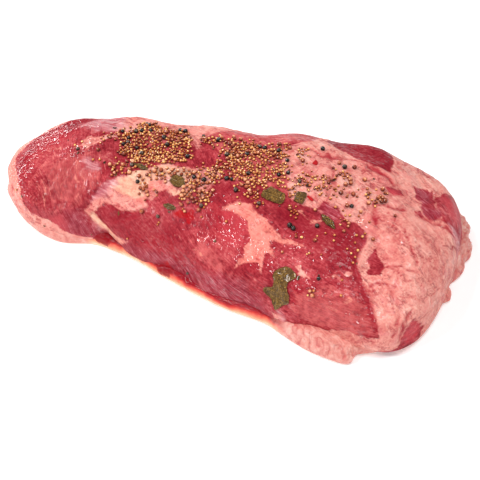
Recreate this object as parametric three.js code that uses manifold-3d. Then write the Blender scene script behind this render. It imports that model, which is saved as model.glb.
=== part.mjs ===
// A raw corned beef round: one thick slab of brined beef lying on its fat cap, with pickling spices
// pressed into its upper face and seven torn pieces of bay leaf lying on it.
//
// Millimetres, +Z up. The slab's length runs along X, its near flank faces -Y, and Z = 0 is the
// surface it lies on. A place on the meat is given by a station along X, in millimetres, and a turn
// round the slab's cross-section, in degrees: 0 at the near rim, 90 on the crown, 180 at the far rim.
import * as THREE from "three";
import { mergeVertices } from "three/addons/utils/BufferGeometryUtils.js";
import Module from "manifold-3d";

const wasm = await Module();
wasm.setup();

// The lean slab. Each row is a station: place along X, near rim Y, far rim Y, crown height and the
// height at which the rims stand widest.
const STATIONS = [
  [-220, -30, 60, 42, 22],
  [-190, -43, 79, 52, 21],
  [-150, -53, 90, 60, 19],
  [-100, -48, 95, 68, 17],
  [-45, -60, 101, 73, 16],
  [10, -76, 109, 78, 16],
  [65, -86, 121, 80, 17],
  [115, -94, 125, 77, 18],
  [160, -95, 116, 69, 19],
  [206, -85, 105, 58, 20],
];
const MIDDLE = new THREE.Vector3(0.24, 7.88, 0); // of the part as drawn here, moved to the origin
const TIP_LEFT = -220.5;
const TIP_RIGHT = 213;
const ROUNDING_LEFT = { near: 60, far: 78, power: 2.1 };
const ROUNDING_RIGHT = { near: 42, far: 64, power: 2.6 };
const CROWN_TOWARDS_FAR = 0.14; // the crown's offset from mid-width, as a share of the half width
const SHOULDER_POWER = 2.3; // 2 is a round shoulder, more is squarer
const BELLY_POWER = 4.5;
const BELLY_DEPTH = 3; // the belly would sink this far below the table, so it is cut flat there
const BELLY_HEIGHT = 1; // height of that flat, inside the fat cap
const END_DROP_POWER = 0.8;
const MM_PER_DEGREE = 1.35; // mean arc of the cross-section for one degree of turn

// Swells and hollows of the muscles: station, turn, heading in degrees from +X, reach along and
// across the heading, and height, all but the turn and heading in millimetres.
const RELIEF = {
  foldGroove: [-106, 9, -52, 26, 7, -5.5],
  foldRidge: [-93, 17, -50, 26, 9, 3.5],
  shoulderFat: [-84, 54, 10, 22, 18, 3],
  spiceValley: [-66, 87, -4, 42, 11, -4],
  leftDish: [-158, 42, 60, 26, 20, -3],
  leftCrease: [-128, 52, 70, 34, 6, -2],
  farShoulder: [-80, 116, 0, 50, 14, 1],
  muscleSeam: [50, 47, 62, 26, 8, -2.5],
  loinSwell: [110, 28, -8, 44, 20, 2.5],
  rearSwell: [172, 66, 30, 32, 24, 3],
  rearSeam: [150, 55, 70, 12, 9, -3.5],
  farSeam: [150, 104, -32, 34, 7, -3],
  farPocket: [172, 110, 0, 13, 9, -3],
  endPocket: [203, 0, 90, 13, 9, -6],
  flankHollow: [-20, 9, -4, 60, 9, -2.5],
};
// Slow lumps over the whole slab: heading, length of the wave and height.
const RIPPLES = [
  [35, 61, 0.8],
  [-50, 43, 0.6],
  [85, 37, 0.5],
  [-8, 83, 0.7],
];

// The fat cap under the slab: its outline seen from above, anticlockwise from the left end.
const CAP_OUTLINE = [
  [-217, -8],
  [-203, -24],
  [-184, -40],
  [-160, -52],
  [-138, -55],
  [-112, -48],
  [-88, -50],
  [-62, -56],
  [-30, -67],
  [2, -77],
  [36, -85],
  [72, -89],
  [92, -97],
  [116, -106],
  [140, -110],
  [154, -109],
  [158, -97],
  [176, -86],
  [192, -66],
  [201, -38],
  [208, -18],
  [215, -6],
  [212, 9],
  [217, 26],
  [220, 50],
  [216, 74],
  [204, 98],
  [180, 114],
  [130, 126],
  [60, 122],
  [0, 112],
  [-60, 102],
  [-120, 91],
  [-175, 72],
  [-206, 40],
  [-220, 14],
];
const CAP_THICKNESS = 13;
const CAP_CENTRE = [0, 12];
const RAGGED = { start: 160, height: 2.2, wave: 9 }; // torn edge of the cap's right end
const SKIRTS = [
  // where the cap thickens into a slope against the meat: place, reach and extra height
  { x: 118, y: -105, reach: 42, height: 9 },
  { x: 214, y: 40, reach: 62, height: 14 },
  { x: -178, y: -44, reach: 46, height: 4 },
];
// Across the cap's edge: inset from the outline in millimetres and height as a share of thickness.
const CAP_EDGE = [
  [60, 0],
  [3, 0],
  [0.4, 0.22],
  [0, 0.5],
  [1.6, 0.78],
  [5, 0.93],
  [14, 1],
  [46, 1],
];

// Spices, as radius and how far the piece is sunk into the meat, in radii.
const SPICES = {
  peppercorn: { radius: 2.3, sunk: 0.25, uneven: 0.14 },
  coriander: { radius: 1.95, sunk: 0.2, uneven: 0.12 },
  mustard: { radius: 1.12, sunk: 0.15, uneven: 0.16 },
  chilli: { radius: 3.4, sunk: 0.1, uneven: 0.3 },
};
// Peppercorns and chilli flakes that lie clear of the piles or show best: station and turn.
const PEPPERCORNS = [
  [-101, 87], [-104, 83], [-98, 82], [-92, 83], [-84, 79], [-97, 106], [-93, 109], [-89, 106],
  [-61, 92], [-42, 85], [-38, 104], [-22, 103], [-47, 32], [-8, 72], [4, 86], [16, 97],
  [22, 103], [28, 92], [34, 92], [40, 93], [36, 104], [49, 95], [54, 87], [44, 84],
  [69, 83], [9, 64], [-14, 49], [76, 59], [98, 61], [116, 78], [97, 99], [75, 111],
  [-146, 79], [38, 64], [66, 68], [112, 46],
];
const CHILLI_FLAKES = [[74, 98], [81, 77], [-65, 99], [-70, 58]];
// Piles of the small seeds: station, turn, reach along X in millimetres, reach in degrees of turn
// and share of the coriander and of the mustard seeds.
const PILES = [
  [-80, 92, 26, 9, 0.14, 0.24],
  [-92, 67, 10, 4, 0.05, 0.04],
  [-118, 98, 9, 3, 0.03, 0.02],
  [-128, 88, 5, 2, 0.01, 0.01],
  [-28, 101, 13, 4, 0.03, 0.06],
  [22, 91, 22, 9, 0.12, 0.3],
  [12, 77, 12, 4, 0.05, 0.05],
  [36, 70, 7, 6, 0.05, 0.05],
  [-56, 67, 11, 4, 0.1, 0.03],
  [-20, 58, 11, 6, 0.14, 0.06],
  [-68, 56, 4, 4, 0.03, 0.01],
  [63, 76, 6, 4, 0.02, 0.02],
  [77, 68, 5, 3, 0.02, 0.01],
  [75, 86, 9, 5, 0.03, 0.02],
  [92, 89, 8, 5, 0.04, 0.02],
  [108, 93, 8, 6, 0.04, 0.01],
  [139, 87, 5, 3, 0.04, 0.01],
  [118, 71, 6, 3, 0.02, 0.01],
  [50, 105, 12, 3, 0.02, 0.02],
  [125, 58, 22, 10, 0.02, 0.01],
];
const CORIANDER_COUNT = 88;
const MUSTARD_IN_SOLID = 96;
const SEED_SPACING = 0.95; // least distance between two seeds, as a share of their radii together
const RANDOM_SEED = 4127;

// Torn bay leaf: station, turn, heading in degrees from +X, and rows across the piece of place
// along the heading, right edge and left edge, in millimetres.
const LEAF_THICKNESS = 0.5;
const LEAF_GAP = 0.75; // clear of the meat's facets
const LEAF_CLEARANCE = 2.4; // from a leaf's middle line and edges to the nearest spice
const BAY_LEAVES = {
  bay_leaf_large: {
    at: [82.5, 20.5], heading: -90,
    rows: [
      [-18, -6, -2], [-14.5, -10, 3], [-11, -8, 8], [-6, -4, 7.5], [-1, -3.5, 5.5],
      [3, -8, 4.5], [6.5, -10, 9], [9.5, -11.5, 14.5], [12, -9, 12], [15, -5, 4], [19, -1, 1.5],
    ],
  },
  bay_leaf_olive: {
    at: [50, 71.5], heading: 0,
    rows: [[-12, -3, -1], [-9, -5, 5], [0, -6, 6], [8, -7, 5], [11.5, -6, 0]],
  },
  bay_leaf_dark: {
    at: [74.5, 74.5], heading: 0,
    rows: [[-6, -3, 3], [-2, -4.5, 5.5], [3, -6, 5], [6, -5, 1]],
  },
  bay_leaf_curled: {
    at: [-36, 64.5], heading: -10,
    rows: [[-7.5, -3, 3], [-4, -6, 5], [0, -6.5, 6], [4, -5.5, 5], [7, -2, 1]],
  },
  bay_leaf_small: {
    at: [-35, 46.5], heading: 8,
    rows: [[-6, -1, 0.4], [-2, -2.6, 2.2], [3, -2.4, 2.6], [6, -0.6, 1]],
  },
  bay_leaf_sliver: {
    at: [105.5, 67], heading: -35,
    rows: [[-9, -1, 1], [-4, -3.4, 3], [2, -3.6, 3.2], [9, -0.8, 0.8]],
  },
  bay_leaf_tucked: {
    at: [-76, 67.5], heading: -12,
    rows: [[-8, -0.8, 0.8], [-2, -2.8, 2.4], [3, -2.6, 2.4], [8, -0.6, 0.6]],
  },
};

const COLOURS = {
  meat: { color: 0xb8434c, roughness: 0.38, metalness: 0 },
  leaf: { color: 0x5a5227, roughness: 0.55, metalness: 0 },
};

// Facets of the solid.
const STATION_STEPS = 62;
const TURN_STEPS = 36;
const CAP_STEPS = 132;
const SEED_DETAIL = 0;
const LEAF_STEPS_ALONG = 8;
const LEAF_STEPS_ACROSS = 4;

const degrees = THREE.MathUtils.degToRad;

// A smooth curve through one column of the stations, by Catmull-Rom slopes.
function alongStations(column, x) {
  const last = STATIONS.length - 1;
  const at = THREE.MathUtils.clamp(x, STATIONS[0][0], STATIONS[last][0]);
  let i = 0;
  while (i < last - 1 && at >= STATIONS[i + 1][0]) i++;
  const place = (k) => STATIONS[k][0];
  const value = (k) => STATIONS[k][column];
  const rise = (k) => (value(k + 1) - value(k)) / (place(k + 1) - place(k));
  const slope = (k) => {
    if (k === 0) return rise(0);
    if (k === last) return rise(last - 1);
    const before = place(k) - place(k - 1);
    const after = place(k + 1) - place(k);
    return (rise(k - 1) * after + rise(k) * before) / (before + after);
  };
  const step = place(i + 1) - place(i);
  const t = (at - place(i)) / step;
  const t2 = t * t;
  const t3 = t2 * t;
  return (
    (2 * t3 - 3 * t2 + 1) * value(i) +
    (t3 - 2 * t2 + t) * step * slope(i) +
    (3 * t2 - 2 * t3) * value(i + 1) +
    (t3 - t2) * step * slope(i + 1)
  );
}

// How much of the full width is left at x, from 0 at a tip to 1 past the rounding.
function rounding(x, side) {
  const share = (reach, distance, power) =>
    distance >= reach
      ? 1
      : Math.pow(Math.max(0, 1 - Math.pow((reach - distance) / reach, power)), 1 / power);
  return (
    share(ROUNDING_LEFT[side], x - TIP_LEFT, ROUNDING_LEFT.power) *
    share(ROUNDING_RIGHT[side], TIP_RIGHT - x, ROUNDING_RIGHT.power)
  );
}

// The slab without its relief: a superellipse at each station, cut flat under the belly.
function plainPoint(x, turn) {
  const [near, far, crown, rim] = [1, 2, 3, 4].map((column) => alongStations(column, x));
  const keptNear = rounding(x, "near");
  const keptFar = rounding(x, "far");
  const middle = (near + far) / 2;
  const nearEdge = middle - (middle - near) * keptNear;
  const farEdge = middle + (far - middle) * keptFar;
  const ridge = (nearEdge + farEdge) / 2 + ((farEdge - nearEdge) / 2) * CROWN_TOWARDS_FAR;
  const cosine = Math.cos(degrees(turn));
  const sine = Math.sin(degrees(turn));
  const power = sine >= 0 ? SHOULDER_POWER : BELLY_POWER;
  const across = Math.pow(Math.abs(cosine), 2 / power);
  const up = Math.pow(Math.abs(sine), 2 / power);
  const kept = (keptNear + keptFar) / 2;
  const y = cosine >= 0 ? ridge - (ridge - nearEdge) * across : ridge + (farEdge - ridge) * across;
  const z =
    sine >= 0
      ? rim + (crown - rim) * up * Math.pow(kept, END_DROP_POWER)
      : rim - (rim + BELLY_DEPTH) * up * Math.min(1, kept * 1.3);
  return new THREE.Vector3(x, y, Math.max(z, BELLY_HEIGHT));
}

// Outward direction of the slab at a station and turn, by small differences.
function outward(x, turn) {
  const station = THREE.MathUtils.clamp(x, TIP_LEFT + 2, TIP_RIGHT - 2);
  const alongX = plainPoint(station + 1, turn).sub(plainPoint(station - 1, turn));
  const alongTurn = plainPoint(station, turn + 1).sub(plainPoint(station, turn - 1));
  return alongX.cross(alongTurn).normalize();
}

// Height of the relief, a sum of bell-shaped swells; it fades out at the tips and under the belly.
function relief(x, turn) {
  let height = 0;
  for (const [station, middle, heading, along, across, top] of Object.values(RELIEF)) {
    const dx = x - station;
    const dt = (turn - middle) * MM_PER_DEGREE;
    const c = Math.cos(degrees(heading));
    const s = Math.sin(degrees(heading));
    const a = (dx * c + dt * s) / along;
    const b = (dt * c - dx * s) / across;
    height += top * Math.exp(-0.5 * (a * a + b * b));
  }
  for (const [heading, wave, top] of RIPPLES) {
    const way = x * Math.cos(degrees(heading)) + turn * MM_PER_DEGREE * Math.sin(degrees(heading));
    height += top * Math.sin((2 * Math.PI * way) / wave);
  }
  const fade = Math.min(rounding(x, "near"), rounding(x, "far"));
  const above = THREE.MathUtils.smoothstep(Math.sin(degrees(turn)), -0.5, 0);
  return height * fade * above;
}

function meatPoint(x, turn) {
  return plainPoint(x, turn).addScaledVector(outward(x, turn), relief(x, turn));
}

// A three.js geometry as a manifold-3d solid, turned right side out where needed.
function solidFrom(geometry) {
  const bare = geometry.clone();
  for (const name of ["normal", "uv"]) bare.deleteAttribute(name);
  const merged = mergeVertices(bare, 1e-4);
  const triangles = new Uint32Array(merged.index.array).filter((_, i, all) => {
    const first = i - (i % 3);
    const [a, b, c] = [all[first], all[first + 1], all[first + 2]];
    return a !== b && b !== c && c !== a;
  });
  const build = () =>
    new wasm.Manifold(
      new wasm.Mesh({
        numProp: 3,
        vertProperties: new Float32Array(merged.attributes.position.array),
        triVerts: triangles,
      }),
    );
  const made = build();
  if (made.volume() > 0) return made;
  for (let i = 0; i < triangles.length; i += 3) {
    [triangles[i + 1], triangles[i + 2]] = [triangles[i + 2], triangles[i + 1]];
  }
  return build();
}

function geometryFrom(solid) {
  const mesh = solid.getMesh();
  const geometry = new THREE.BufferGeometry();
  geometry.setAttribute("position", new THREE.BufferAttribute(mesh.vertProperties, 3));
  geometry.setIndex(new THREE.BufferAttribute(mesh.triVerts, 1));
  geometry.computeVertexNormals();
  return geometry;
}

// A sphere's grid moved onto the slab: its poles are the two tips, and its meridians the turns.
function slabGeometry() {
  const geometry = new THREE.SphereGeometry(1, TURN_STEPS, STATION_STEPS);
  const position = geometry.attributes.position;
  const uv = geometry.attributes.uv;
  for (let i = 0; i < position.count; i++) {
    const share = THREE.MathUtils.clamp(uv.getY(i), 0, 1);
    const eased = 0.45 * share + 0.55 * ((1 - Math.cos(Math.PI * share)) / 2);
    const x = THREE.MathUtils.lerp(TIP_LEFT, TIP_RIGHT, eased);
    const column = i % (TURN_STEPS + 1);
    const turn = ((column % TURN_STEPS) / TURN_STEPS) * 360;
    const pole = share < 1e-6 || share > 1 - 1e-6;
    const point = pole ? plainPoint(x, 0) : meatPoint(x, turn);
    position.setXYZ(i, point.x, point.y, point.z);
  }
  return geometry;
}

function capThickness(x, y) {
  const extra = SKIRTS.map((skirt) => {
    const distance = Math.hypot(x - skirt.x, y - skirt.y) / skirt.reach;
    return skirt.height * Math.exp(-2 * distance * distance);
  });
  return CAP_THICKNESS + Math.max(...extra);
}

// The fat cap: a sphere's grid moved onto a plate, its rows running from the middle of the
// underside out round the edge profile and back to the middle of the top.
function capGeometry() {
  const outline = new THREE.CatmullRomCurve3(
    CAP_OUTLINE.map(([x, y]) => new THREE.Vector3(x, y, 0)),
    true,
    "catmullrom",
    0.5,
  );
  const rim = outline.getPoints(CAP_STEPS).slice(0, CAP_STEPS);
  const centre = new THREE.Vector3(...CAP_CENTRE, 0);
  const rows = CAP_EDGE.length + 1;
  const geometry = new THREE.SphereGeometry(1, CAP_STEPS, rows);
  const position = geometry.attributes.position;
  for (let i = 0; i < position.count; i++) {
    const column = i % (CAP_STEPS + 1) % CAP_STEPS;
    const row = Math.floor(i / (CAP_STEPS + 1));
    const edge = rim[column];
    const inward = centre.clone().sub(edge).normalize();
    const torn =
      THREE.MathUtils.smoothstep(edge.x, RAGGED.start, RAGGED.start + 40) *
      RAGGED.height *
      (Math.sin(edge.y / (RAGGED.wave / 3.1)) * 0.5 + Math.sin(edge.y / (RAGGED.wave / 1.7)));
    const point = centre.clone();
    let height = 0;
    if (row === rows) height = CAP_THICKNESS;
    if (row > 0 && row < rows) {
      const [inset, share] = CAP_EDGE[row - 1];
      point.copy(edge).addScaledVector(inward, inset + Math.max(torn, -1.5));
      height = share * (share > 0.9 ? capThickness(point.x, point.y) : CAP_THICKNESS);
    }
    position.setXYZ(i, point.x, point.y, height);
  }
  return geometry;
}

// Park and Miller's random numbers, so that every run lays the same spices.
function randomNumbers(seed) {
  const modulus = 2147483647;
  let state = seed;
  return () => {
    state = (state * 16807) % modulus;
    return state / modulus;
  };
}

// Where each spice lies: the placed peppercorns and flakes, then coriander and mustard seeds drawn
// pile by pile, each kept clear of the seeds already laid.
function laySpices(mustardCount) {
  const random = randomNumbers(RANDOM_SEED);
  const laid = [];
  const lay = (kind, x, turn) => {
    const spice = SPICES[kind];
    const radius = spice.radius * (1 + spice.uneven * (2 * random() - 1));
    const spin = random() * 360;
    const point = meatPoint(x, turn);
    const clear = laid.every(
      (other) => other.point.distanceTo(point) > SEED_SPACING * (other.radius + radius),
    );
    if (clear) laid.push({ kind, x, turn, radius, spin, point });
    return clear;
  };
  PEPPERCORNS.forEach(([x, turn]) => lay("peppercorn", x, turn));
  CHILLI_FLAKES.forEach(([x, turn]) => lay("chilli", x, turn));
  const scatter = (kind, count, shareColumn) => {
    for (const pile of PILES) {
      const [station, middle, along, round] = pile;
      const wanted = Math.round(pile[shareColumn] * count);
      let kept = 0;
      for (let attempt = 0; kept < wanted && attempt < wanted * 6; attempt++) {
        const reach = Math.sqrt(random()) * (0.7 + 0.9 * random());
        const bearing = random() * 2 * Math.PI;
        const x = station + along * reach * Math.cos(bearing);
        const turn = middle + round * reach * Math.sin(bearing);
        if (lay(kind, x, turn)) kept++;
      }
    }
  };
  scatter("coriander", CORIANDER_COUNT, 4);
  scatter("mustard", mustardCount, 5);
  return laid;
}

// Degrees of turn for one millimetre of arc at a place on the meat.
function degreesPerMillimetre(x, turn) {
  return 2 / meatPoint(x, turn + 1).distanceTo(meatPoint(x, turn - 1));
}

// A point at (along, across) millimetres from a piece's middle, as station and turn.
function placeOnMeat([station, middle], heading, along, across) {
  const c = Math.cos(degrees(heading));
  const s = Math.sin(degrees(heading));
  const arc = along * s + across * c;
  return [station + along * c - across * s, middle + arc * degreesPerMillimetre(station, middle)];
}

// A column of a piece's rows at a place along it, by straight steps.
function acrossLeaf(rows, column, along) {
  const last = rows.length - 1;
  let i = 0;
  while (i < last - 1 && along > rows[i + 1][0]) i++;
  const t = THREE.MathUtils.clamp((along - rows[i][0]) / (rows[i + 1][0] - rows[i][0]), 0, 1);
  return THREE.MathUtils.lerp(rows[i][column], rows[i + 1][column], t);
}

// A thin wavy solid: two like grids of triangles, one thickness apart, joined round their edge.
function leafGeometry({ at, heading, rows }) {
  const steps = Math.max(LEAF_STEPS_ALONG, rows.length - 1);
  const columns = LEAF_STEPS_ACROSS + 1;
  const lower = [];
  const upper = [];
  for (let i = 0; i <= steps; i++) {
    const along = THREE.MathUtils.lerp(rows[0][0], rows[rows.length - 1][0], i / steps);
    const right = acrossLeaf(rows, 1, along);
    const left = acrossLeaf(rows, 2, along);
    for (let j = 0; j < columns; j++) {
      const across = THREE.MathUtils.lerp(right, left, j / LEAF_STEPS_ACROSS);
      const [x, turn] = placeOnMeat(at, heading, along, -across);
      const wave = 0.35 * (1 + Math.sin(along * 0.9) * Math.cos(across * 0.7));
      const foot = meatPoint(x, turn);
      const up = outward(x, turn);
      lower.push(foot.clone().addScaledVector(up, LEAF_GAP + wave));
      upper.push(foot.clone().addScaledVector(up, LEAF_GAP + wave + LEAF_THICKNESS));
    }
  }
  const points = [...lower, ...upper];
  const top = lower.length;
  const index = [];
  const quad = (a, b, c, d) => index.push(a, b, c, a, c, d);
  for (let i = 0; i < steps; i++) {
    for (let j = 0; j < columns - 1; j++) {
      const a = i * columns + j;
      quad(a, a + 1, a + columns + 1, a + columns);
      const [ta, tb, tc, td] = [a, a + 1, a + columns + 1, a + columns].map((v) => v + top);
      index.push(ta, tc, tb, ta, td, tc);
    }
  }
  const edge = [];
  for (let j = 0; j < columns; j++) edge.push(j);
  for (let i = 1; i <= steps; i++) edge.push(i * columns + columns - 1);
  for (let j = columns - 2; j >= 0; j--) edge.push(steps * columns + j);
  for (let i = steps - 1; i > 0; i--) edge.push(i * columns);
  edge.forEach((a, k) => {
    const b = edge[(k + 1) % edge.length];
    quad(b, a, a + top, b + top);
  });
  const geometry = new THREE.BufferGeometry().setFromPoints(points);
  geometry.setIndex(index);
  return geometry;
}

// Whether a spice would touch a bay leaf.
function underLeaf({ point, radius }) {
  return Object.values(BAY_LEAVES).some(({ at, heading, rows }) =>
    rows.some(([along, right, left]) =>
      [right, (right + left) / 2, left].some((across) => {
        const [x, turn] = placeOnMeat(at, heading, along, -across);
        return meatPoint(x, turn).distanceTo(point) < radius + LEAF_CLEARANCE;
      }),
    ),
  );
}

function spiceSolid({ kind, x, turn, radius, spin }) {
  const flat = kind === "chilli" ? 0.3 : 0.92;
  const geometry = new THREE.IcosahedronGeometry(radius, SEED_DETAIL);
  const up = outward(x, turn);
  const place = new THREE.Object3D();
  place.quaternion
    .setFromUnitVectors(new THREE.Vector3(0, 0, 1), up)
    .multiply(new THREE.Quaternion().setFromAxisAngle(new THREE.Vector3(0, 0, 1), degrees(spin)));
  const rise = radius * flat * (1 - SPICES[kind].sunk) * 0.8;
  place.position.copy(meatPoint(x, turn)).addScaledVector(up, rise);
  place.scale.set(1, 1, flat);
  place.updateMatrix();
  return solidFrom(geometry.applyMatrix4(place.matrix));
}

const beef = new THREE.Group();
beef.name = "corned_beef_round";

function addPiece(name, solid, material) {
  const piece = new THREE.Mesh(geometryFrom(solid), material);
  piece.name = name;
  piece.position.copy(MIDDLE).negate();
  beef.add(piece);
}

const meatMaterial = new THREE.MeshStandardMaterial(COLOURS.meat);
const leafMaterial = new THREE.MeshStandardMaterial(COLOURS.leaf);

const slab = solidFrom(slabGeometry());
const cap = solidFrom(capGeometry());
const spices = laySpices(MUSTARD_IN_SOLID).filter((spice) => !underLeaf(spice));
const joined = wasm.Manifold.union([slab, cap, ...spices.map(spiceSolid)]);
// A seed over a hollow of the facets can miss them: only the one large body is kept.
const whole = joined.decompose().reduce((a, b) => (a.volume() > b.volume() ? a : b));
addPiece("corned_beef", whole, meatMaterial);
for (const [name, leaf] of Object.entries(BAY_LEAVES)) {
  addPiece(name, solidFrom(leafGeometry(leaf)), leafMaterial);
}

export default beef;
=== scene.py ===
"""Looks of a raw corned beef round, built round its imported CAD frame.

The slab, its fat cap, the pickling spices and the torn bay leaf are surfaces worked out with numpy
from the same named sizes as the CAD part. A place on the meat is a station along X in millimetres
and a turn round the cross-section in degrees: 0 at the near rim, 90 on the crown, 180 at the far
rim. Millimetres become metres where a mesh is made.
"""

import itertools
import logging
import math
from collections.abc import Sequence
from dataclasses import dataclass, field
from enum import Enum

import bpy
import numpy as np
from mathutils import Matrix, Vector

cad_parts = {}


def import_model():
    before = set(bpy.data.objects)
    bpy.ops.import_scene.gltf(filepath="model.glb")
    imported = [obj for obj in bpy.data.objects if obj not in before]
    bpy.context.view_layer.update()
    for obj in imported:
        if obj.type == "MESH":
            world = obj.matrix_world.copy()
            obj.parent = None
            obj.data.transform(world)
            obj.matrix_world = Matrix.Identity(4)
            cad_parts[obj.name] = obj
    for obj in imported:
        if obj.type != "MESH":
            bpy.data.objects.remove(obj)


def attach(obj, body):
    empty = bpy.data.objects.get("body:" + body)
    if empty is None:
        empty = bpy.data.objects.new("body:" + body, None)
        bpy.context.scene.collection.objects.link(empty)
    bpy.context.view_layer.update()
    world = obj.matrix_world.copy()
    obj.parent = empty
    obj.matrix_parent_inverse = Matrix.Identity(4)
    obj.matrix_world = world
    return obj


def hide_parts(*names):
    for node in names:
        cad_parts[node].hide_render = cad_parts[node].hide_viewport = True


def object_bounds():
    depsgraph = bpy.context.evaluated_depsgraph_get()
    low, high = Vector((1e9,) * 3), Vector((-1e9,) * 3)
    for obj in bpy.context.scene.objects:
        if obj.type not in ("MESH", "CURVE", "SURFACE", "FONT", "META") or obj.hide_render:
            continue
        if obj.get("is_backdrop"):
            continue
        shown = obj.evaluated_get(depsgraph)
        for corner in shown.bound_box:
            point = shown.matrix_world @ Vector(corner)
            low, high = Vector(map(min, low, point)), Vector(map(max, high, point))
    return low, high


log = logging.getLogger("corned_beef")

Array = np.ndarray
Outline = tuple[tuple[float, float], ...]

MM = 0.001
MIDDLE = np.array([0.24, 7.88, 0.0])  # of the part as drawn here, moved to the origin
PER_DEGREE = 1.35  # mean arc of the cross-section for one degree of turn, in millimetres


class Tissue(Enum):
    """What a patch of the meat's skin is made of."""

    FAT = "fat"
    LEAN_ISLAND = "lean_island"
    CREAM = "cream"
    SILVER = "silver"
    MEMBRANE = "membrane"
    DEEP = "deep"
    BRIGHT = "bright"
    BLOOD = "blood"
    HAZE = "haze"
    ROSY = "rosy"
    MARBLED = "marbled"
    WET = "wet"


class Line(Enum):
    """What a narrow line on the meat's skin is: a dark seam or a pale vein of fat."""

    SEAM = "seam"
    VEIN = "vein"


class Spice(Enum):
    """The pickling spices with a body of their own."""

    MUSTARD = "mustard_seeds"
    CORIANDER = "coriander_seeds"
    PEPPERCORN = "peppercorns"


# Working with arrays


class LatticeNoise:
    """Smooth random heights: random values on a lattice, eased between each cell's corners."""

    period = 32

    def __init__(self, seed: int) -> None:
        """Draws the lattice from random numbers that the seed starts."""
        self.values = np.random.default_rng(seed).uniform(-1, 1, (self.period,) * 3)

    def at(self, points: Array, size: float) -> Array:
        """Heights from -1 to 1 at the points.

        Args:
            points: Places, three numbers each.
            size: Edge of a lattice cell, in the points' unit.

        Returns:
            One height for each point.
        """
        scaled = points / size
        cell = np.floor(scaled).astype(int)
        part = scaled - cell
        ease = part * part * (3 - 2 * part)
        total = np.zeros(points.shape[:-1])
        for corner in itertools.product((0, 1), repeat=3):
            weight = np.where(corner, ease, 1 - ease).prod(axis=-1)
            index = (cell + corner) % self.period
            total += weight * self.values[index[..., 0], index[..., 1], index[..., 2]]
        return total


def smooth_step(value: Array, low: float, high: float) -> Array:
    """0 up to low, 1 from high on and an S-shaped rise between them, or a fall if low is above high."""
    share = np.clip((value - low) / (high - low), 0, 1)
    return share * share * (3 - 2 * share)


def bell(off: Array, width: float) -> Array:
    """1 where off is 0, falling away on both sides as e to the minus square of off over the width."""
    return np.exp(-((off / width) ** 2))


def unit(vectors: Array) -> Array:
    """The vectors brought to a length of one."""
    return vectors / np.linalg.norm(vectors, axis=-1, keepdims=True)


def cos_sin(degrees: float) -> tuple[float, float]:
    """Cosine and sine of an angle in degrees."""
    return math.cos(math.radians(degrees)), math.sin(math.radians(degrees))


def unrolled(places: Outline | Array) -> Array:
    """Stations and turns as points of the unrolled skin, in millimetres."""
    return np.array(places, float) * (1, PER_DEGREE)


def distance_to_path(points: Array, path: Array) -> Array:
    """Distance from each point to the nearest stretch of a path of straight steps.

    Args:
        points: Places on a plane, two numbers each.
        path: The path's corners in order, two numbers each.

    Returns:
        One distance for each point.
    """
    nearest = np.full(points.shape[:-1], np.inf)
    for start, end in zip(path[:-1], path[1:]):
        step = end - start
        share = np.clip(((points - start) @ step) / (step @ step), 0, 1)
        off = points - (start + share[..., None] * step)
        nearest = np.minimum(nearest, np.hypot(off[..., 0], off[..., 1]))
    return nearest


def depth_inside(points: Array, outline: Outline) -> Array:
    """Distance to an outline's edge, positive inside it and negative outside.

    A point is inside where a ray along +X from it crosses the outline an odd number of times.

    Args:
        points: Places on the unrolled skin.
        outline: Station and turn of each corner.

    Returns:
        One signed distance in millimetres for each point.
    """
    corners = unrolled(outline)
    ring = np.vstack([corners, corners[:1]])
    crossed = np.zeros(points.shape[:-1], bool)
    for start, end in zip(ring[:-1], ring[1:]):
        spans = (start[1] > points[..., 1]) != (end[1] > points[..., 1])
        rise = end[1] - start[1] if end[1] != start[1] else 1.0
        meets = start[0] + (points[..., 1] - start[1]) * (end[0] - start[0]) / rise
        crossed ^= spans & (points[..., 0] < meets)
    away = distance_to_path(points, ring)
    return np.where(crossed, away, -away)


def catmull_rom_ring(corners: Array, count: int) -> Array:
    """A closed curve through the corners, by uniform Catmull-Rom steps.

    Args:
        corners: Corner points in order.
        count: How many points the curve gets, evenly spaced in its parameter.

    Returns:
        The curve's points.
    """
    place = np.arange(count) / count * len(corners)
    i = np.floor(place).astype(int)
    t = (place - i)[:, None]
    before, start, end, after = (corners[(i + k) % len(corners)] for k in (-1, 0, 1, 2))
    return 0.5 * (
        2 * start
        + (end - before) * t
        + (2 * before - 5 * start + 4 * end - after) * t**2
        + (3 * start - before - 3 * end + after) * t**3
    )


def grid_quads(rows: int, columns: int, ring: bool) -> Array:
    """Corner indices of the quads between a grid's vertices.

    Args:
        rows: Number of rows of vertices.
        columns: Number of vertices in a row.
        ring: Whether each row closes on itself.

    Returns:
        Four indices for each quad, facing out where columns run anticlockwise about the rows.
    """
    i = np.arange(rows - 1)[:, None]
    j = np.arange(columns if ring else columns - 1)[None, :]
    k = (j + 1) % columns
    corners = [i * columns + j, (i + 1) * columns + j, (i + 1) * columns + k, i * columns + k]
    return np.stack(np.broadcast_arrays(*corners), axis=-1).reshape(-1, 4)


def pole_fan(pole: int, first: int, count: int, ahead: bool) -> Array:
    """The triangles that close a ring of vertices with a pole.

    Args:
        pole: The pole's index.
        first: Index of the ring's first vertex.
        count: How many vertices the ring has.
        ahead: Whether each triangle runs the way that the ring does.

    Returns:
        Three indices for each triangle.
    """
    here = first + np.arange(count)
    after = first + (np.arange(count) + 1) % count
    pair = (here, after) if ahead else (after, here)
    return np.stack([np.full(count, pole), *pair], axis=1)


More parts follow.
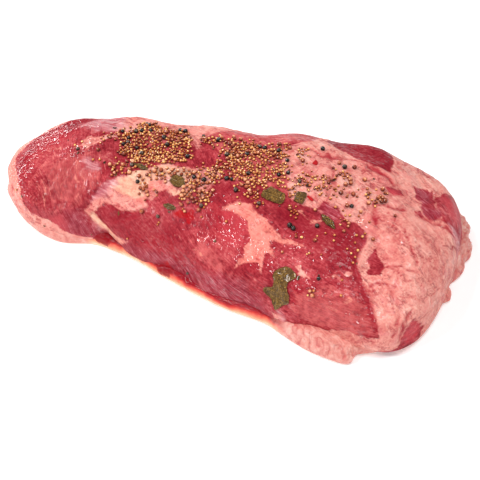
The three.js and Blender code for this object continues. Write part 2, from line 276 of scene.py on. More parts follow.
def make_piece(name: str, points: Array, faces: Array, fans: Sequence[Array] = ()) -> bpy.types.Object:
    """A smooth mesh object at the origin.

    Args:
        name: The piece's name.
        points: Vertices in the drawing's millimetres.
        faces: Corner indices, one row for each face.
        fans: More arrays of faces, such as the triangles at a pole.

    Returns:
        The new object, linked to the scene.
    """
    groups = [np.asarray(faces), *fans]
    sizes = np.concatenate([np.full(len(g), g.shape[1]) for g in groups])
    loops = np.concatenate([g.ravel() for g in groups])
    mesh = bpy.data.meshes.new(name)
    mesh.vertices.add(len(points))
    mesh.vertices.foreach_set("co", ((points - MIDDLE) * MM).astype(np.float32).ravel())
    mesh.loops.add(len(loops))
    mesh.loops.foreach_set("vertex_index", loops.astype(np.int32))
    mesh.polygons.add(len(sizes))
    starts = np.concatenate([[0], np.cumsum(sizes)[:-1]])
    mesh.polygons.foreach_set("loop_start", starts.astype(np.int32))
    mesh.polygons.foreach_set("loop_total", sizes.astype(np.int32))
    mesh.update(calc_edges=True)
    mesh.validate()
    mesh.shade_smooth()
    piece = bpy.data.objects.new(name, mesh)
    bpy.context.scene.collection.objects.link(piece)
    return piece


def store(piece: bpy.types.Object, name: str, values: Array) -> None:
    """Keeps one number for each vertex as an attribute that a material can read."""
    attribute = piece.data.attributes.new(name, "FLOAT", "POINT")
    attribute.data.foreach_set("value", np.asarray(values, np.float32).ravel())


def store_uv(piece: bpy.types.Object, name: str, flat: Array) -> None:
    """Keeps a place on a plane for each vertex as a UV map.

    Args:
        piece: The mesh object.
        name: The map's name.
        flat: Two numbers for each vertex.
    """
    mesh = piece.data
    corner = np.empty(len(mesh.loops), np.int32)
    mesh.loops.foreach_get("vertex_index", corner)
    layer = mesh.uv_layers.new(name=name)
    layer.data.foreach_set("uv", flat[corner].astype(np.float32).ravel())


# The slab's form, as in the CAD part


@dataclass(frozen=True)
class Swell:
    """A bell-shaped rise or hollow of the muscles."""

    station: float
    turn: float
    heading: float
    along: float
    across: float
    height: float


@dataclass(frozen=True)
class Crease:
    """A narrow groove along a path on the skin."""

    path: Outline
    depth: float
    width: float


@dataclass
class SlabForm:
    """The lean slab's outer form, without any skin detail.

    A station's row holds its place along X, the near and the far rim's Y, the crown's height and
    the rims' height.
    """

    stations: tuple[tuple[float, float, float, float, float], ...] = (
        (-220, -30, 60, 42, 22),
        (-190, -43, 79, 52, 21),
        (-150, -53, 90, 60, 19),
        (-100, -48, 95, 68, 17),
        (-45, -60, 101, 73, 16),
        (10, -76, 109, 78, 16),
        (65, -86, 121, 80, 17),
        (115, -94, 125, 77, 18),
        (160, -95, 116, 69, 19),
        (206, -85, 105, 58, 20),
    )
    tip_left: float = -220.5
    tip_right: float = 213.0
    tip_margin: float = 2.0
    round_near: tuple[float, float] = (60, 42)
    round_far: tuple[float, float] = (78, 64)
    round_power: tuple[float, float] = (2.1, 2.6)
    crown_towards_far: float = 0.14
    shoulder_power: float = 2.3
    belly_power: float = 4.5
    belly_depth: float = 3.0
    belly_height: float = 1.0
    belly_fullness: float = 1.3
    end_drop_power: float = 0.8
    relief_starts: float = -0.5  # sine of the turn under the rims where the relief fades in
    swells: tuple[Swell, ...] = (
        Swell(-106, 9, -52, 26, 7, -5.5),
        Swell(-93, 17, -50, 26, 9, 3.5),
        Swell(-84, 54, 10, 22, 18, 3),
        Swell(-66, 87, -4, 42, 11, -4),
        Swell(-158, 42, 60, 26, 20, -3),
        Swell(-128, 52, 70, 34, 6, -2),
        Swell(-80, 116, 0, 50, 14, 1),
        Swell(50, 47, 62, 26, 8, -2.5),
        Swell(110, 28, -8, 44, 20, 2.5),
        Swell(172, 66, 30, 32, 24, 3),
        Swell(150, 55, 70, 12, 9, -3.5),
        Swell(150, 104, -32, 34, 7, -3),
        Swell(172, 110, 0, 13, 9, -3),
        Swell(203, 0, 90, 13, 9, -6),
        Swell(-20, 9, -4, 60, 9, -2.5),
    )
    ripples: tuple[tuple[float, float, float], ...] = (
        (35, 61, 0.8),
        (-50, 43, 0.6),
        (85, 37, 0.5),
        (-8, 83, 0.7),
    )

    def column(self, index: int, x: Array) -> Array:
        """One column of the stations at x: a cubic between stations with Catmull-Rom slopes.

        Args:
            index: The column.
            x: Places along the slab.

        Returns:
            The column's value at each place.
        """
        place, value = (np.array([row[k] for row in self.stations], float) for k in (0, index))
        step = np.diff(place)
        rise = np.diff(value) / step
        inner = (rise[:-1] * step[1:] + rise[1:] * step[:-1]) / (step[:-1] + step[1:])
        slope = np.concatenate([rise[:1], inner, rise[-1:]])
        at = np.clip(x, place[0], place[-1])
        i = np.clip(np.searchsorted(place, at, side="right") - 1, 0, len(step) - 1)
        t = (at - place[i]) / step[i]
        return (
            (2 * t**3 - 3 * t**2 + 1) * value[i]
            + (t**3 - 2 * t**2 + t) * step[i] * slope[i]
            + (3 * t**2 - 2 * t**3) * value[i + 1]
            + (t**3 - t**2) * step[i] * slope[i + 1]
        )

    def rounding(self, x: Array, reach: tuple[float, float]) -> Array:
        """How much of the full width is left at x: a superellipse arc over the reach at each end.

        Args:
            x: Places along the slab.
            reach: How far the arc runs in from the left and from the right tip.

        Returns:
            A share from 0 at a tip to 1 between the arcs.
        """
        kept = np.ones(np.shape(x))
        ends = (x - self.tip_left, self.tip_right - x)
        for distance, length, power in zip(ends, reach, self.round_power):
            share = np.clip((length - distance) / length, 0, 1)
            kept = kept * np.maximum(0, 1 - share**power) ** (1 / power)
        return kept

    def plain(self, x: Array, turn: Array) -> Array:
        """The slab without relief: a superellipse at each station, cut flat under the belly.

        Args:
            x: Stations.
            turn: Turns.

        Returns:
            A point for each place, in millimetres.
        """
        near, far, crown, rim = (self.column(k, x) for k in (1, 2, 3, 4))
        kept_near = self.rounding(x, self.round_near)
        kept_far = self.rounding(x, self.round_far)
        middle = (near + far) / 2
        near_edge = middle - (middle - near) * kept_near
        far_edge = middle + (far - middle) * kept_far
        ridge = (near_edge + far_edge) / 2 + (far_edge - near_edge) / 2 * self.crown_towards_far
        cosine = np.cos(np.radians(turn))
        sine = np.sin(np.radians(turn))
        power = np.where(sine >= 0, self.shoulder_power, self.belly_power)
        across = np.abs(cosine) ** (2 / power)
        up = np.abs(sine) ** (2 / power)
        kept = (kept_near + kept_far) / 2
        y = np.where(cosine >= 0, ridge - (ridge - near_edge) * across, ridge + (far_edge - ridge) * across)
        top = rim + (crown - rim) * up * kept**self.end_drop_power
        belly = rim - (rim + self.belly_depth) * up * np.minimum(1, kept * self.belly_fullness)
        z = np.maximum(np.where(sine >= 0, top, belly), self.belly_height)
        return np.stack([np.broadcast_to(x, y.shape), y, z], axis=-1)

    def outward(self, x: Array, turn: Array) -> Array:
        """The way out of the slab, from the plain form a millimetre and a degree to each side.

        Args:
            x: Stations.
            turn: Turns.

        Returns:
            A unit vector for each place.
        """
        station = np.clip(x, self.tip_left + self.tip_margin, self.tip_right - self.tip_margin)
        along = self.plain(station + 1, turn) - self.plain(station - 1, turn)
        around = self.plain(station, turn + 1) - self.plain(station, turn - 1)
        return unit(np.cross(along, around))

    def fade(self, x: Array, turn: Array) -> Array:
        """1 on the open skin, falling to 0 at the tips and under the belly."""
        ends = np.minimum(self.rounding(x, self.round_near), self.rounding(x, self.round_far))
        return ends * smooth_step(np.sin(np.radians(turn)), self.relief_starts, 0)

    def relief(self, x: Array, turn: Array) -> Array:
        """Height of the muscles' swells, each a bell of two widths, and of the slow ripples, sine waves.

        Args:
            x: Stations.
            turn: Turns.

        Returns:
            A height for each place, in millimetres.
        """
        height = np.zeros(np.broadcast(x, turn).shape)
        for swell in self.swells:
            dx = x - swell.station
            dt = (turn - swell.turn) * PER_DEGREE
            c, s = cos_sin(swell.heading)
            a = (dx * c + dt * s) / swell.along
            b = (dt * c - dx * s) / swell.across
            height += swell.height * np.exp(-0.5 * (a * a + b * b))
        for heading, wave, top in self.ripples:
            c, s = cos_sin(heading)
            height += top * np.sin(2 * np.pi * (x * c + turn * PER_DEGREE * s) / wave)
        return height * self.fade(x, turn)

    def surface(self, x: Array, turn: Array) -> Array:
        """Points of the slab with its relief."""
        return self.plain(x, turn) + self.outward(x, turn) * self.relief(x, turn)[..., None]


# Fat, lean and membrane on the slab's skin


@dataclass(frozen=True)
class Patch:
    """An area of one tissue: its edge in stations and turns, and over how far the edge fades."""

    tissue: Tissue
    outline: Outline
    soft: float = 1.0


@dataclass(frozen=True)
class Stroke:
    """A narrow line of fat or a seam."""

    line: Line
    path: Outline
    width: float


PATCHES = (
    # The salmon fat over the whole right end, round the lean window
    Patch(Tissue.FAT, (
        (60, 135), (62, 118), (50, 110), (38, 101), (45, 90), (58, 84), (62, 78), (66, 75), (74, 72),
        (90, 71), (95, 76), (107, 76), (117, 73), (129, 71), (138, 70), (142, 66), (139, 58),
        (140, 52), (146, 49), (152, 42), (161, 32), (169, 22), (171, 13), (174, 4), (159, 7),
        (148, 6), (138, 3), (116, 0), (95, -1), (86, 3), (79, 1), (84, -9), (84, -60), (225, -60),
        (225, 340), (184, 340), (172, 206), (40, 206), (28, 192), (46, 182), (70, 172), (76, 160),
        (62, 150), (68, 142),
    )),
    # The starburst in the middle of the lean
    Patch(Tissue.FAT, (
        (12, 57), (17, 60), (25, 65), (36, 64), (45, 61), (54, 58), (60, 55), (66, 52), (72, 51.4),
        (79, 51.4), (87, 50.6), (95, 49), (88, 48.4), (80, 48.6), (73, 48.8), (68, 48.2), (65, 47),
        (66, 43), (71, 38), (66, 39), (62, 40), (63, 34), (64, 25), (60, 31), (55, 32), (50, 31),
        (45, 28), (39, 22), (40, 28), (43, 35), (45, 42), (43, 49), (40, 53), (34, 55), (26, 57),
        (18, 56),
    ), 1.2),
    # The creamy fat along the fold, with its tail and the band between the seed piles
    Patch(Tissue.FAT, (
        (-117, 17), (-114, 29), (-109, 36), (-101, 40), (-97, 47), (-93, 57), (-87, 56), (-81, 63),
        (-73, 66), (-66, 69), (-65, 74), (-56, 77), (-45, 76), (-33, 78), (-22, 80), (-12, 82),
        (-3, 82), (-2, 78), (-7, 76), (-5, 68), (-7, 61), (-13, 61), (-18, 65), (-24, 60),
        (-28, 57), (-38, 56), (-46, 58), (-50, 54), (-53, 47), (-60, 46), (-56, 42), (-65, 34),
        (-78, 29), (-90, 31), (-97, 32), (-103, 27), (-108, 21), (-100, 13), (-90, 6), (-80, 5),
        (-69, 3), (-78, -1), (-94, -2), (-103, 1), (-112, 8),
    ), 1.6),
    # The pale far shoulder
    Patch(Tissue.FAT, (
        (-124, 99), (-112, 98), (-104, 104), (-89, 106), (-75, 107), (-60, 105), (-46, 98),
        (-36, 93), (-38, 99), (-34, 108), (-24, 118), (-6, 129), (4, 142), (-22, 150), (-40, 162),
        (-68, 168), (-92, 158), (-114, 166), (-150, 152), (-140, 136), (-128, 120),
    ), 3.0),
    Patch(Tissue.FAT, (
        (-146, 83), (-147, 88), (-142, 90), (-129, 91), (-120, 93), (-113, 92), (-122, 89),
        (-134, 84), (-140, 79),
    )),
    # The fat that rolls up over the left end
    Patch(Tissue.FAT, (
        (-178, 131), (-181, 122), (-190, 116), (-199, 109), (-206, 93), (-209, 75), (-210, 64),
        (-206, 48), (-198, 38), (-192, 29), (-188, 17), (-184, 6), (-171, 0), (-156, 3),
        (-148, 3), (-136, 0), (-128, -2), (-119, -5), (-108, -8), (-108, -60), (-226, -60),
        (-226, 340), (-184, 340), (-172, 206), (-150, 190), (-174, 172), (-188, 156), (-172, 142),
    )),
    Patch(Tissue.FAT, ((91, 37), (97, 39), (103, 37), (109, 34), (103, 34), (96, 35))),
    Patch(Tissue.FAT, ((131, 44), (133, 46), (139, 47), (140, 45), (137, 43), (133, 42))),
    # Lean and dark islands in the fat
    Patch(Tissue.LEAN_ISLAND, (
        (66, 152), (90, 156), (112, 152), (128, 138), (136, 122), (138, 110), (129, 107),
        (117, 107), (104, 109), (91, 113), (79, 118), (68, 130),
    )),
    Patch(Tissue.LEAN_ISLAND, (
        (162, 111), (168, 115), (177, 120), (180, 113), (183, 111), (186, 104), (192, 104),
        (191, 98), (183, 96), (174, 96), (173, 101), (167, 103),
    )),
    Patch(Tissue.LEAN_ISLAND, (
        (181, 115), (185, 124), (193, 153), (202, 158), (211, 160), (212, 118), (208, 104),
        (203, 100), (195, 99), (187, 104),
    )),
    Patch(Tissue.LEAN_ISLAND, ((174, 98), (181, 103), (189, 104), (193, 99), (185, 94), (177, 93))),
    Patch(Tissue.LEAN_ISLAND, (
        (151, 64), (156, 62), (161, 58), (162, 55), (160, 51), (154, 49), (151, 51), (152, 55),
        (147, 58),
    )),
    Patch(Tissue.LEAN_ISLAND, (
        (197, 22), (204, 5), (206, -7), (203, -14), (197, -26), (188, -22), (188, -8), (192, 0),
        (193, 12),
    )),
    Patch(Tissue.LEAN_ISLAND, (
        (166, -14), (173, -9), (185, -8), (190, -5), (193, -19), (186, -26), (168, -26),
    )),
    Patch(Tissue.LEAN_ISLAND, ((137, 95), (143, 98), (153, 100), (155, 97), (147, 93))),
    Patch(Tissue.LEAN_ISLAND, ((170, 91), (176, 94), (179, 92), (173, 90))),
    Patch(Tissue.LEAN_ISLAND, (
        (-104, 142), (-84, 150), (-62, 146), (-40, 148), (-28, 140), (-44, 132), (-70, 134),
        (-90, 130),
    ), 3.0),
    Patch(Tissue.LEAN_ISLAND, (
        (118, 162), (138, 160), (156, 168), (180, 158), (186, 146), (166, 142), (150, 148),
        (130, 150),
    ), 3.0),
    # A film of fat, thin enough for the lean to show through; the patches on the left lobe's folds are
    # partly painted highlight
    Patch(Tissue.HAZE, (
        (-6, 94), (1, 100), (17, 106), (40, 106), (58, 106), (70, 96), (73, 80), (62, 77),
        (50, 80), (40, 86), (21, 86), (6, 88),
    ), 3.5),
    Patch(Tissue.HAZE, (
        (-58, 112), (-29, 108), (-10, 107), (30, 108), (66, 108), (70, 150), (10, 160),
        (-60, 160),
    ), 4.0),
    Patch(Tissue.HAZE, ((-104, 100), (-88, 112), (-60, 110), (-44, 98), (-60, 92), (-88, 92)), 4.0),
    # On the left lobe's folds: pale patches, partly a film of fat and partly painted highlight.
    Patch(Tissue.HAZE, ((-164, 50), (-158, 60), (-149, 54), (-148, 41), (-156, 36)), 2.5),
    Patch(Tissue.HAZE, ((-143, 63), (-137, 64), (-132, 54), (-137, 47)), 2.0),
    Patch(Tissue.HAZE, ((-132, 60), (-125, 65), (-113, 58), (-106, 47), (-114, 42), (-125, 49)), 2.5),
    Patch(Tissue.HAZE, ((17, 89), (33, 92), (55, 90), (64, 84), (57, 78), (37, 77), (21, 80)), 2.0),
    Patch(Tissue.HAZE, ((92, 14), (116, 30), (146, 35), (164, 25), (170, 9), (140, 4), (110, 3)), 4.0),
    Patch(Tissue.HAZE, (
        (-168, 62), (-150, 74), (-128, 72), (-116, 54), (-122, 32), (-140, 26), (-158, 40),
    ), 7.0),
    Patch(Tissue.HAZE, ((-4, 30), (8, 34), (26, 26), (34, 16), (18, 16), (2, 22)), 5.0),
    # Marbled lean
    Patch(Tissue.MARBLED, (
        (-196, 60), (-178, 84), (-150, 82), (-118, 84), (-104, 62), (-112, 38), (-120, 22),
        (-150, 10), (-178, 20),
    ), 6.0),
    Patch(Tissue.MARBLED, ((-24, 112), (0, 110), (40, 108), (76, 108), (66, 124), (4, 132)), 3.0),
    # Where wet wrinkles glint
    Patch(Tissue.WET, (
        (-199, 10), (-204, 54), (-201, 78), (-192, 88), (-178, 98), (-166, 92), (-172, 82),
        (-184, 72), (-184, 55), (-181, 36), (-174, 12), (-168, -1), (-181, -4),
    ), 4.0),
    Patch(Tissue.WET, ((-6, 52), (4, 60), (24, 59), (36, 50), (40, 38), (24, 34), (4, 40)), 4.0),
    Patch(Tissue.WET, ((37, 46), (46, 46), (56, 38), (66, 32), (54, 27), (41, 35)), 3.0),
    Patch(Tissue.WET, ((92, 26), (99, 34), (106, 20), (97, 10), (90, 14)), 3.0),
    Patch(Tissue.WET, ((148, 24), (166, 38), (176, 18), (163, 2), (150, 10)), 4.0),
    Patch(Tissue.WET, ((-66, 12), (-30, 20), (0, 14), (30, 8), (70, -4), (40, -2), (-30, 4)), 4.0),
    Patch(Tissue.WET, ((-128, 62), (-118, 66), (-106, 50), (-116, 44)), 3.0),
    # Creamier fat
    Patch(Tissue.CREAM, (
        (-104, 44), (-97, 47), (-93, 57), (-87, 56), (-81, 63), (-69, 68), (-58, 74), (-44, 74),
        (-30, 77), (-30, 70), (-46, 66), (-58, 66), (-64, 60), (-66, 53), (-64, 46), (-76, 43),
        (-88, 44),
    )),
    Patch(Tissue.CREAM, ((-41, 58), (-30, 61), (-22, 62), (-12, 62), (-28, 57), (-38, 55))),
    Patch(Tissue.CREAM, (
        (-112, 14), (-108, 8), (-100, 3), (-92, 0), (-76, 2), (-90, 5), (-100, 11), (-108, 20),
    )),
    # Rosier fat
    Patch(Tissue.ROSY, (
        (12, 60), (30, 68), (50, 64), (70, 54), (94, 52), (94, 44), (66, 34), (58, 22), (42, 20),
        (34, 40), (30, 54),
    ), 3.0),
    Patch(Tissue.ROSY, ((-226, 96), (-200, 96), (-196, 40), (-180, 8), (-226, 0)), 4.0),
    Patch(Tissue.ROSY, ((-66, 60), (-54, 62), (-48, 54), (-58, 46), (-76, 44), (-80, 50)), 3.0),
    # Translucent silver skin, pale in its own right; the patches on the left lobe and the ridge by the near
    # flank are partly painted sheen
    # On the left lobe's top: pale mauve, partly silver skin and partly painted sheen.
    Patch(Tissue.SILVER, (
        (-158, 104), (-157, 112), (-150, 124), (-136, 134), (-122, 124), (-116, 106), (-118, 99),
        (-128, 96), (-142, 97), (-152, 100),
    ), 1.5),
    Patch(Tissue.SILVER, (
        (-113, 32), (-109, 40), (-104, 48), (-97, 53), (-91, 57), (-89, 50), (-94, 43), (-103, 35),
    )),
    Patch(Tissue.SILVER, ((-117, 14), (-110, 8), (-100, 1), (-86, -2), (-96, -4), (-108, 2))),
    Patch(Tissue.MEMBRANE, (
        (138, 67), (144, 68), (150, 66), (150, 61), (146, 57), (143, 55), (139, 57), (139, 61),
    )),
    # On the left lobe's fold: partly silver skin and partly painted highlight.
    Patch(Tissue.SILVER, (
        (-135, 70), (-128, 71), (-117, 65), (-112, 60), (-121, 60), (-131, 62),
    )),
    # A pale line along the ridge by the near flank: partly silver skin and partly painted highlight.
    Patch(Tissue.SILVER, ((82, 5), (88, 4), (98, -4), (108, -15), (98, -18), (88, -6))),
    Patch(Tissue.SILVER, (
        (196, 102), (204, 109), (208, 118), (211, 150), (213, 150), (213, 100), (206, 96),
    )),
    # Purple membrane along the near flank, at the far top and beside the right fat; its pale streaks are
    # partly painted sheen
    Patch(Tissue.MEMBRANE, (
        (-133, 16), (-129, 20), (-122, 22), (-115, 15), (-111, 9), (-103, 3), (-93, -3), (-78, -1),
        (-61, 2), (-47, 4), (-35, 5), (-22, 6), (-8, 9), (7, 10), (20, 12), (33, 13), (51, 12),
        (66, 5), (78, -2), (70, -16), (51, -13), (39, -7), (29, -3), (2, -2), (-25, -3),
        (-40, -4), (-55, -3), (-72, -6), (-92, -10), (-110, -9), (-122, -6), (-133, 2),
    ), 2.0),
    # Pale mauve over the left lobe's top, partly a film of fat and partly painted sheen.
    Patch(Tissue.HAZE, (
        (-160, 104), (-158, 112), (-152, 122), (-136, 132), (-123, 122), (-117, 106), (-117, 99),
        (-127, 95), (-142, 95), (-153, 100),
    ), 1.5),
    Patch(Tissue.MEMBRANE, ((174, 98), (181, 103), (189, 104), (193, 99), (185, 94), (177, 93)), 0.8),
    Patch(Tissue.MEMBRANE, (
        (92, 72), (96, 75), (103, 77), (113, 75), (113, 71), (105, 69), (97, 69),
    )),
    Patch(Tissue.MEMBRANE, (
        (162, 108), (168, 113), (176, 118), (179, 112), (182, 105), (175, 100), (167, 103),
    )),
    Patch(Tissue.MEMBRANE, ((166, -12), (186, -8), (192, -16), (186, -26), (168, -26))),
    # Deeper and brighter lean; the strip along the foot of the near flank is partly painted shade
    Patch(Tissue.DEEP, (
        (56, 66), (66, 72), (78, 66), (92, 66), (110, 68), (125, 68), (139, 68), (141, 58),
        (139, 49), (128, 46), (112, 50), (98, 51), (86, 55), (74, 56), (66, 60),
    )),
    Patch(Tissue.HAZE, ((-30, 98), (0, 102), (40, 98), (54, 88), (40, 78), (10, 78), (-6, 90)), 1.5),
    Patch(Tissue.DEEP, (
        (66, 154), (90, 158), (112, 154), (130, 138), (138, 122), (139, 110), (129, 106),
        (104, 108), (79, 117), (66, 130),
    )),
    Patch(Tissue.DEEP, (
        (-105, 26), (-88, 30), (-64, 36), (-40, 38), (-19, 34), (-14, 22), (-27, 12), (-48, 10),
        (-69, 8), (-90, 10),
    ), 4.0),
    Patch(Tissue.DEEP, ((-1, 68), (4, 72), (22, 75), (32, 73), (36, 65), (24, 65), (12, 66))),
    Patch(Tissue.DEEP, ((-118, 60), (-112, 76), (-96, 92), (-84, 76), (-96, 62), (-104, 56))),
    # Along the foot of the near flank, where the slab meets the cap: darker red, partly the lean's own and
    # partly painted shade.
    Patch(Tissue.DEEP, (
        (-104, -2), (-60, 1), (-20, 0), (20, 3), (62, -3), (60, -14), (0, -12), (-60, -14),
        (-104, -12),
    ), 1.5),
    Patch(Tissue.BRIGHT, ((14, 55), (24, 58), (36, 55), (42, 48), (42, 40), (30, 36), (18, 42))),
    Patch(Tissue.BRIGHT, ((186, 119), (194, 136), (206, 158), (211, 150), (202, 112))),
    Patch(Tissue.BRIGHT, ((-24, 106), (-10, 112), (10, 112), (10, 104), (-8, 103))),
    Patch(Tissue.BRIGHT, ((-150, 6), (-140, 14), (-126, 4), (-132, -2), (-146, 0))),
    Patch(Tissue.BRIGHT, ((137, 95), (143, 98), (153, 100), (155, 97), (147, 93))),
    Patch(Tissue.BRIGHT, ((197, 22), (204, 5), (206, -7), (197, -14), (192, 0))),
    Patch(Tissue.BLOOD, ((-38, -2), (-30, 0), (-22, -2), (-20, -12), (-34, -12)), 1.5),
    Patch(Tissue.BLOOD, (
        (-30, 44), (-26, 46), (-19, 47), (-16, 51), (-12, 46), (-12, 41), (-16, 41), (-19, 44),
        (-24, 41),
    )),
)

STROKES = (
    Stroke(Line.VEIN, ((-173, 77), (-169, 81), (-165, 83)), 1.3),
    Stroke(Line.VEIN, ((-191, 72), (-186, 71), (-182, 74)), 1.1),
    Stroke(Line.VEIN, ((-116, 73), (-111, 71), (-107, 69), (-102, 66)), 1.5),
    Stroke(Line.VEIN, ((-155, 81), (-150, 82), (-144, 83)), 2.2),
    Stroke(Line.VEIN, ((76, 70), (84, 66), (90, 65), (98, 66)), 1.8),
    Stroke(Line.VEIN, ((93, 72), (100, 69), (107, 68), (116, 69)), 2.2),
    Stroke(Line.VEIN, ((120, 38), (127, 40), (133, 39)), 1.2),
    Stroke(Line.VEIN, ((139, 28), (145, 31)), 2.2),
    Stroke(Line.VEIN, ((127, 22), (134, 20)), 2.0),
    Stroke(Line.VEIN, ((-49, 18), (-44, 20), (-43, 17), (-48, 16)), 1.1),
    Stroke(Line.VEIN, ((-24, 28), (-20, 29), (-17, 27)), 1.4),
    Stroke(Line.VEIN, ((-2, 24), (3, 25), (7, 22)), 1.8),
    Stroke(Line.VEIN, ((-6, 110), (10, 116), (30, 118), (54, 121)), 2.0),
    Stroke(Line.VEIN, ((4, 106), (18, 110), (34, 113), (50, 113)), 1.4),
    Stroke(Line.VEIN, ((-148, 63), (-147, 52), (-144, 39), (-139, 24)), 1.3),
    Stroke(Line.VEIN, ((-138, 66), (-133, 53), (-126, 42), (-128, 32)), 1.6),
    Stroke(Line.VEIN, ((-132, 70), (-131, 60), (-125, 51), (-123, 42)), 1.2),
    Stroke(Line.VEIN, ((-170, 51), (-161, 45), (-160, 30), (-153, 22)), 1.0),
    Stroke(Line.VEIN, ((-156, 56), (-156, 44), (-154, 32)), 0.9),
    Stroke(Line.SEAM, ((136, 85), (138, 81), (141, 78), (146, 75)), 1.3),
    Stroke(Line.SEAM, ((138, 85), (147, 86), (156, 87), (163, 88)), 1.2),
    Stroke(Line.SEAM, ((157, 76), (164, 74), (169, 72)), 1.0),
    Stroke(Line.SEAM, ((169, 79), (177, 72), (184, 65)), 1.2),
    Stroke(Line.SEAM, ((187, 97), (196, 100), (204, 107), (209, 118)), 1.6),
    Stroke(Line.SEAM, ((179, 92), (188, 93), (197, 97), (206, 100)), 1.2),
    Stroke(Line.SEAM, ((199, 84), (206, 90), (211, 100)), 1.0),
    Stroke(Line.SEAM, ((157, 42), (163, 46), (169, 48), (176, 47)), 0.9),
    Stroke(Line.SEAM, ((161, 55), (167, 57), (176, 59), (186, 60)), 1.0),
    Stroke(Line.SEAM, ((187, 27), (190, 19), (191, 6)), 1.2),
    Stroke(Line.SEAM, ((-85, 18), (-75, 24), (-61, 32)), 1.0),
    Stroke(Line.SEAM, ((79, 107), (85, 104), (92, 103), (97, 107), (104, 107)), 1.8),
    Stroke(Line.SEAM, ((118, 106), (127, 105), (135, 104), (142, 103)), 1.4),
    Stroke(Line.SEAM, ((-160, 101), (-148, 105), (-134, 107), (-122, 112)), 1.1),
    Stroke(Line.SEAM, ((-152, 111), (-140, 116), (-128, 117)), 1.0),
    Stroke(Line.SEAM, ((104, 6), (112, 2), (118, -3)), 1.0),
    Stroke(Line.SEAM, ((120, -4), (130, -9), (140, -14)), 1.0),
)

CREASES = (
    Crease(((-148, 66), (-148, 52), (-145, 39), (-140, 22)), 1.3, 2.2),
    Crease(((-143, 66), (-138, 53), (-131, 42), (-132, 30)), 1.5, 2.2),
    Crease(((-134, 64), (-130, 54), (-123, 44), (-122, 34), (-126, 24)), 1.3, 2.0),
    Crease(((-157, 60), (-158, 44), (-156, 32), (-150, 20)), 1.0, 2.4),
    Crease(((-118, 18), (-112, 8), (-102, 0), (-88, -4)), 1.6, 2.4),
    Crease(((-96, 31), (-83, 28), (-70, 31), (-61, 36), (-54, 43)), 1.0, 1.8),
    Crease(((-85, 18), (-75, 24), (-61, 32)), 0.7, 1.2),
    Crease(((-104, 44), (-96, 60), (-84, 62), (-70, 70), (-58, 78)), 0.8, 2.0),
    Crease(((139, 68), (140, 58), (140, 50), (152, 41), (166, 26), (171, 12)), 1.0, 1.8),
    Crease(((60, 106), (72, 104), (84, 104), (98, 107), (118, 105), (142, 103)), 1.2, 1.8),
    Crease(((136, 85), (138, 81), (141, 78), (147, 74)), 0.9, 1.1),
    Crease(((138, 85), (147, 86), (156, 87), (164, 88)), 0.8, 1.1),
    Crease(((169, 79), (177, 72), (185, 64)), 0.6, 1.1),
    Crease(((178, 92), (188, 93), (197, 97), (207, 100)), 1.1, 1.4),
    Crease(((187, 97), (196, 100), (204, 107), (209, 118)), 1.2, 1.6),
    Crease(((157, 42), (163, 46), (169, 48), (176, 47)), 0.7, 1.2),
    Crease(((168, 47), (174, 44), (180, 39), (185, 31), (185, 20)), 0.7, 1.4),
    Crease(((158, 54), (167, 57), (176, 59), (188, 60)), 0.7, 1.3),
    Crease(((192, 30), (191, 16), (190, 0)), 0.9, 1.6),
    Crease(((78, 5), (90, 2), (104, -4), (120, -8)), 0.9, 1.8),
    Crease(((12, 57), (30, 57), (42, 46), (43, 30)), 0.5, 1.6),
    Crease(((70, 47), (82, 46), (94, 46)), 0.4, 1.4),
)


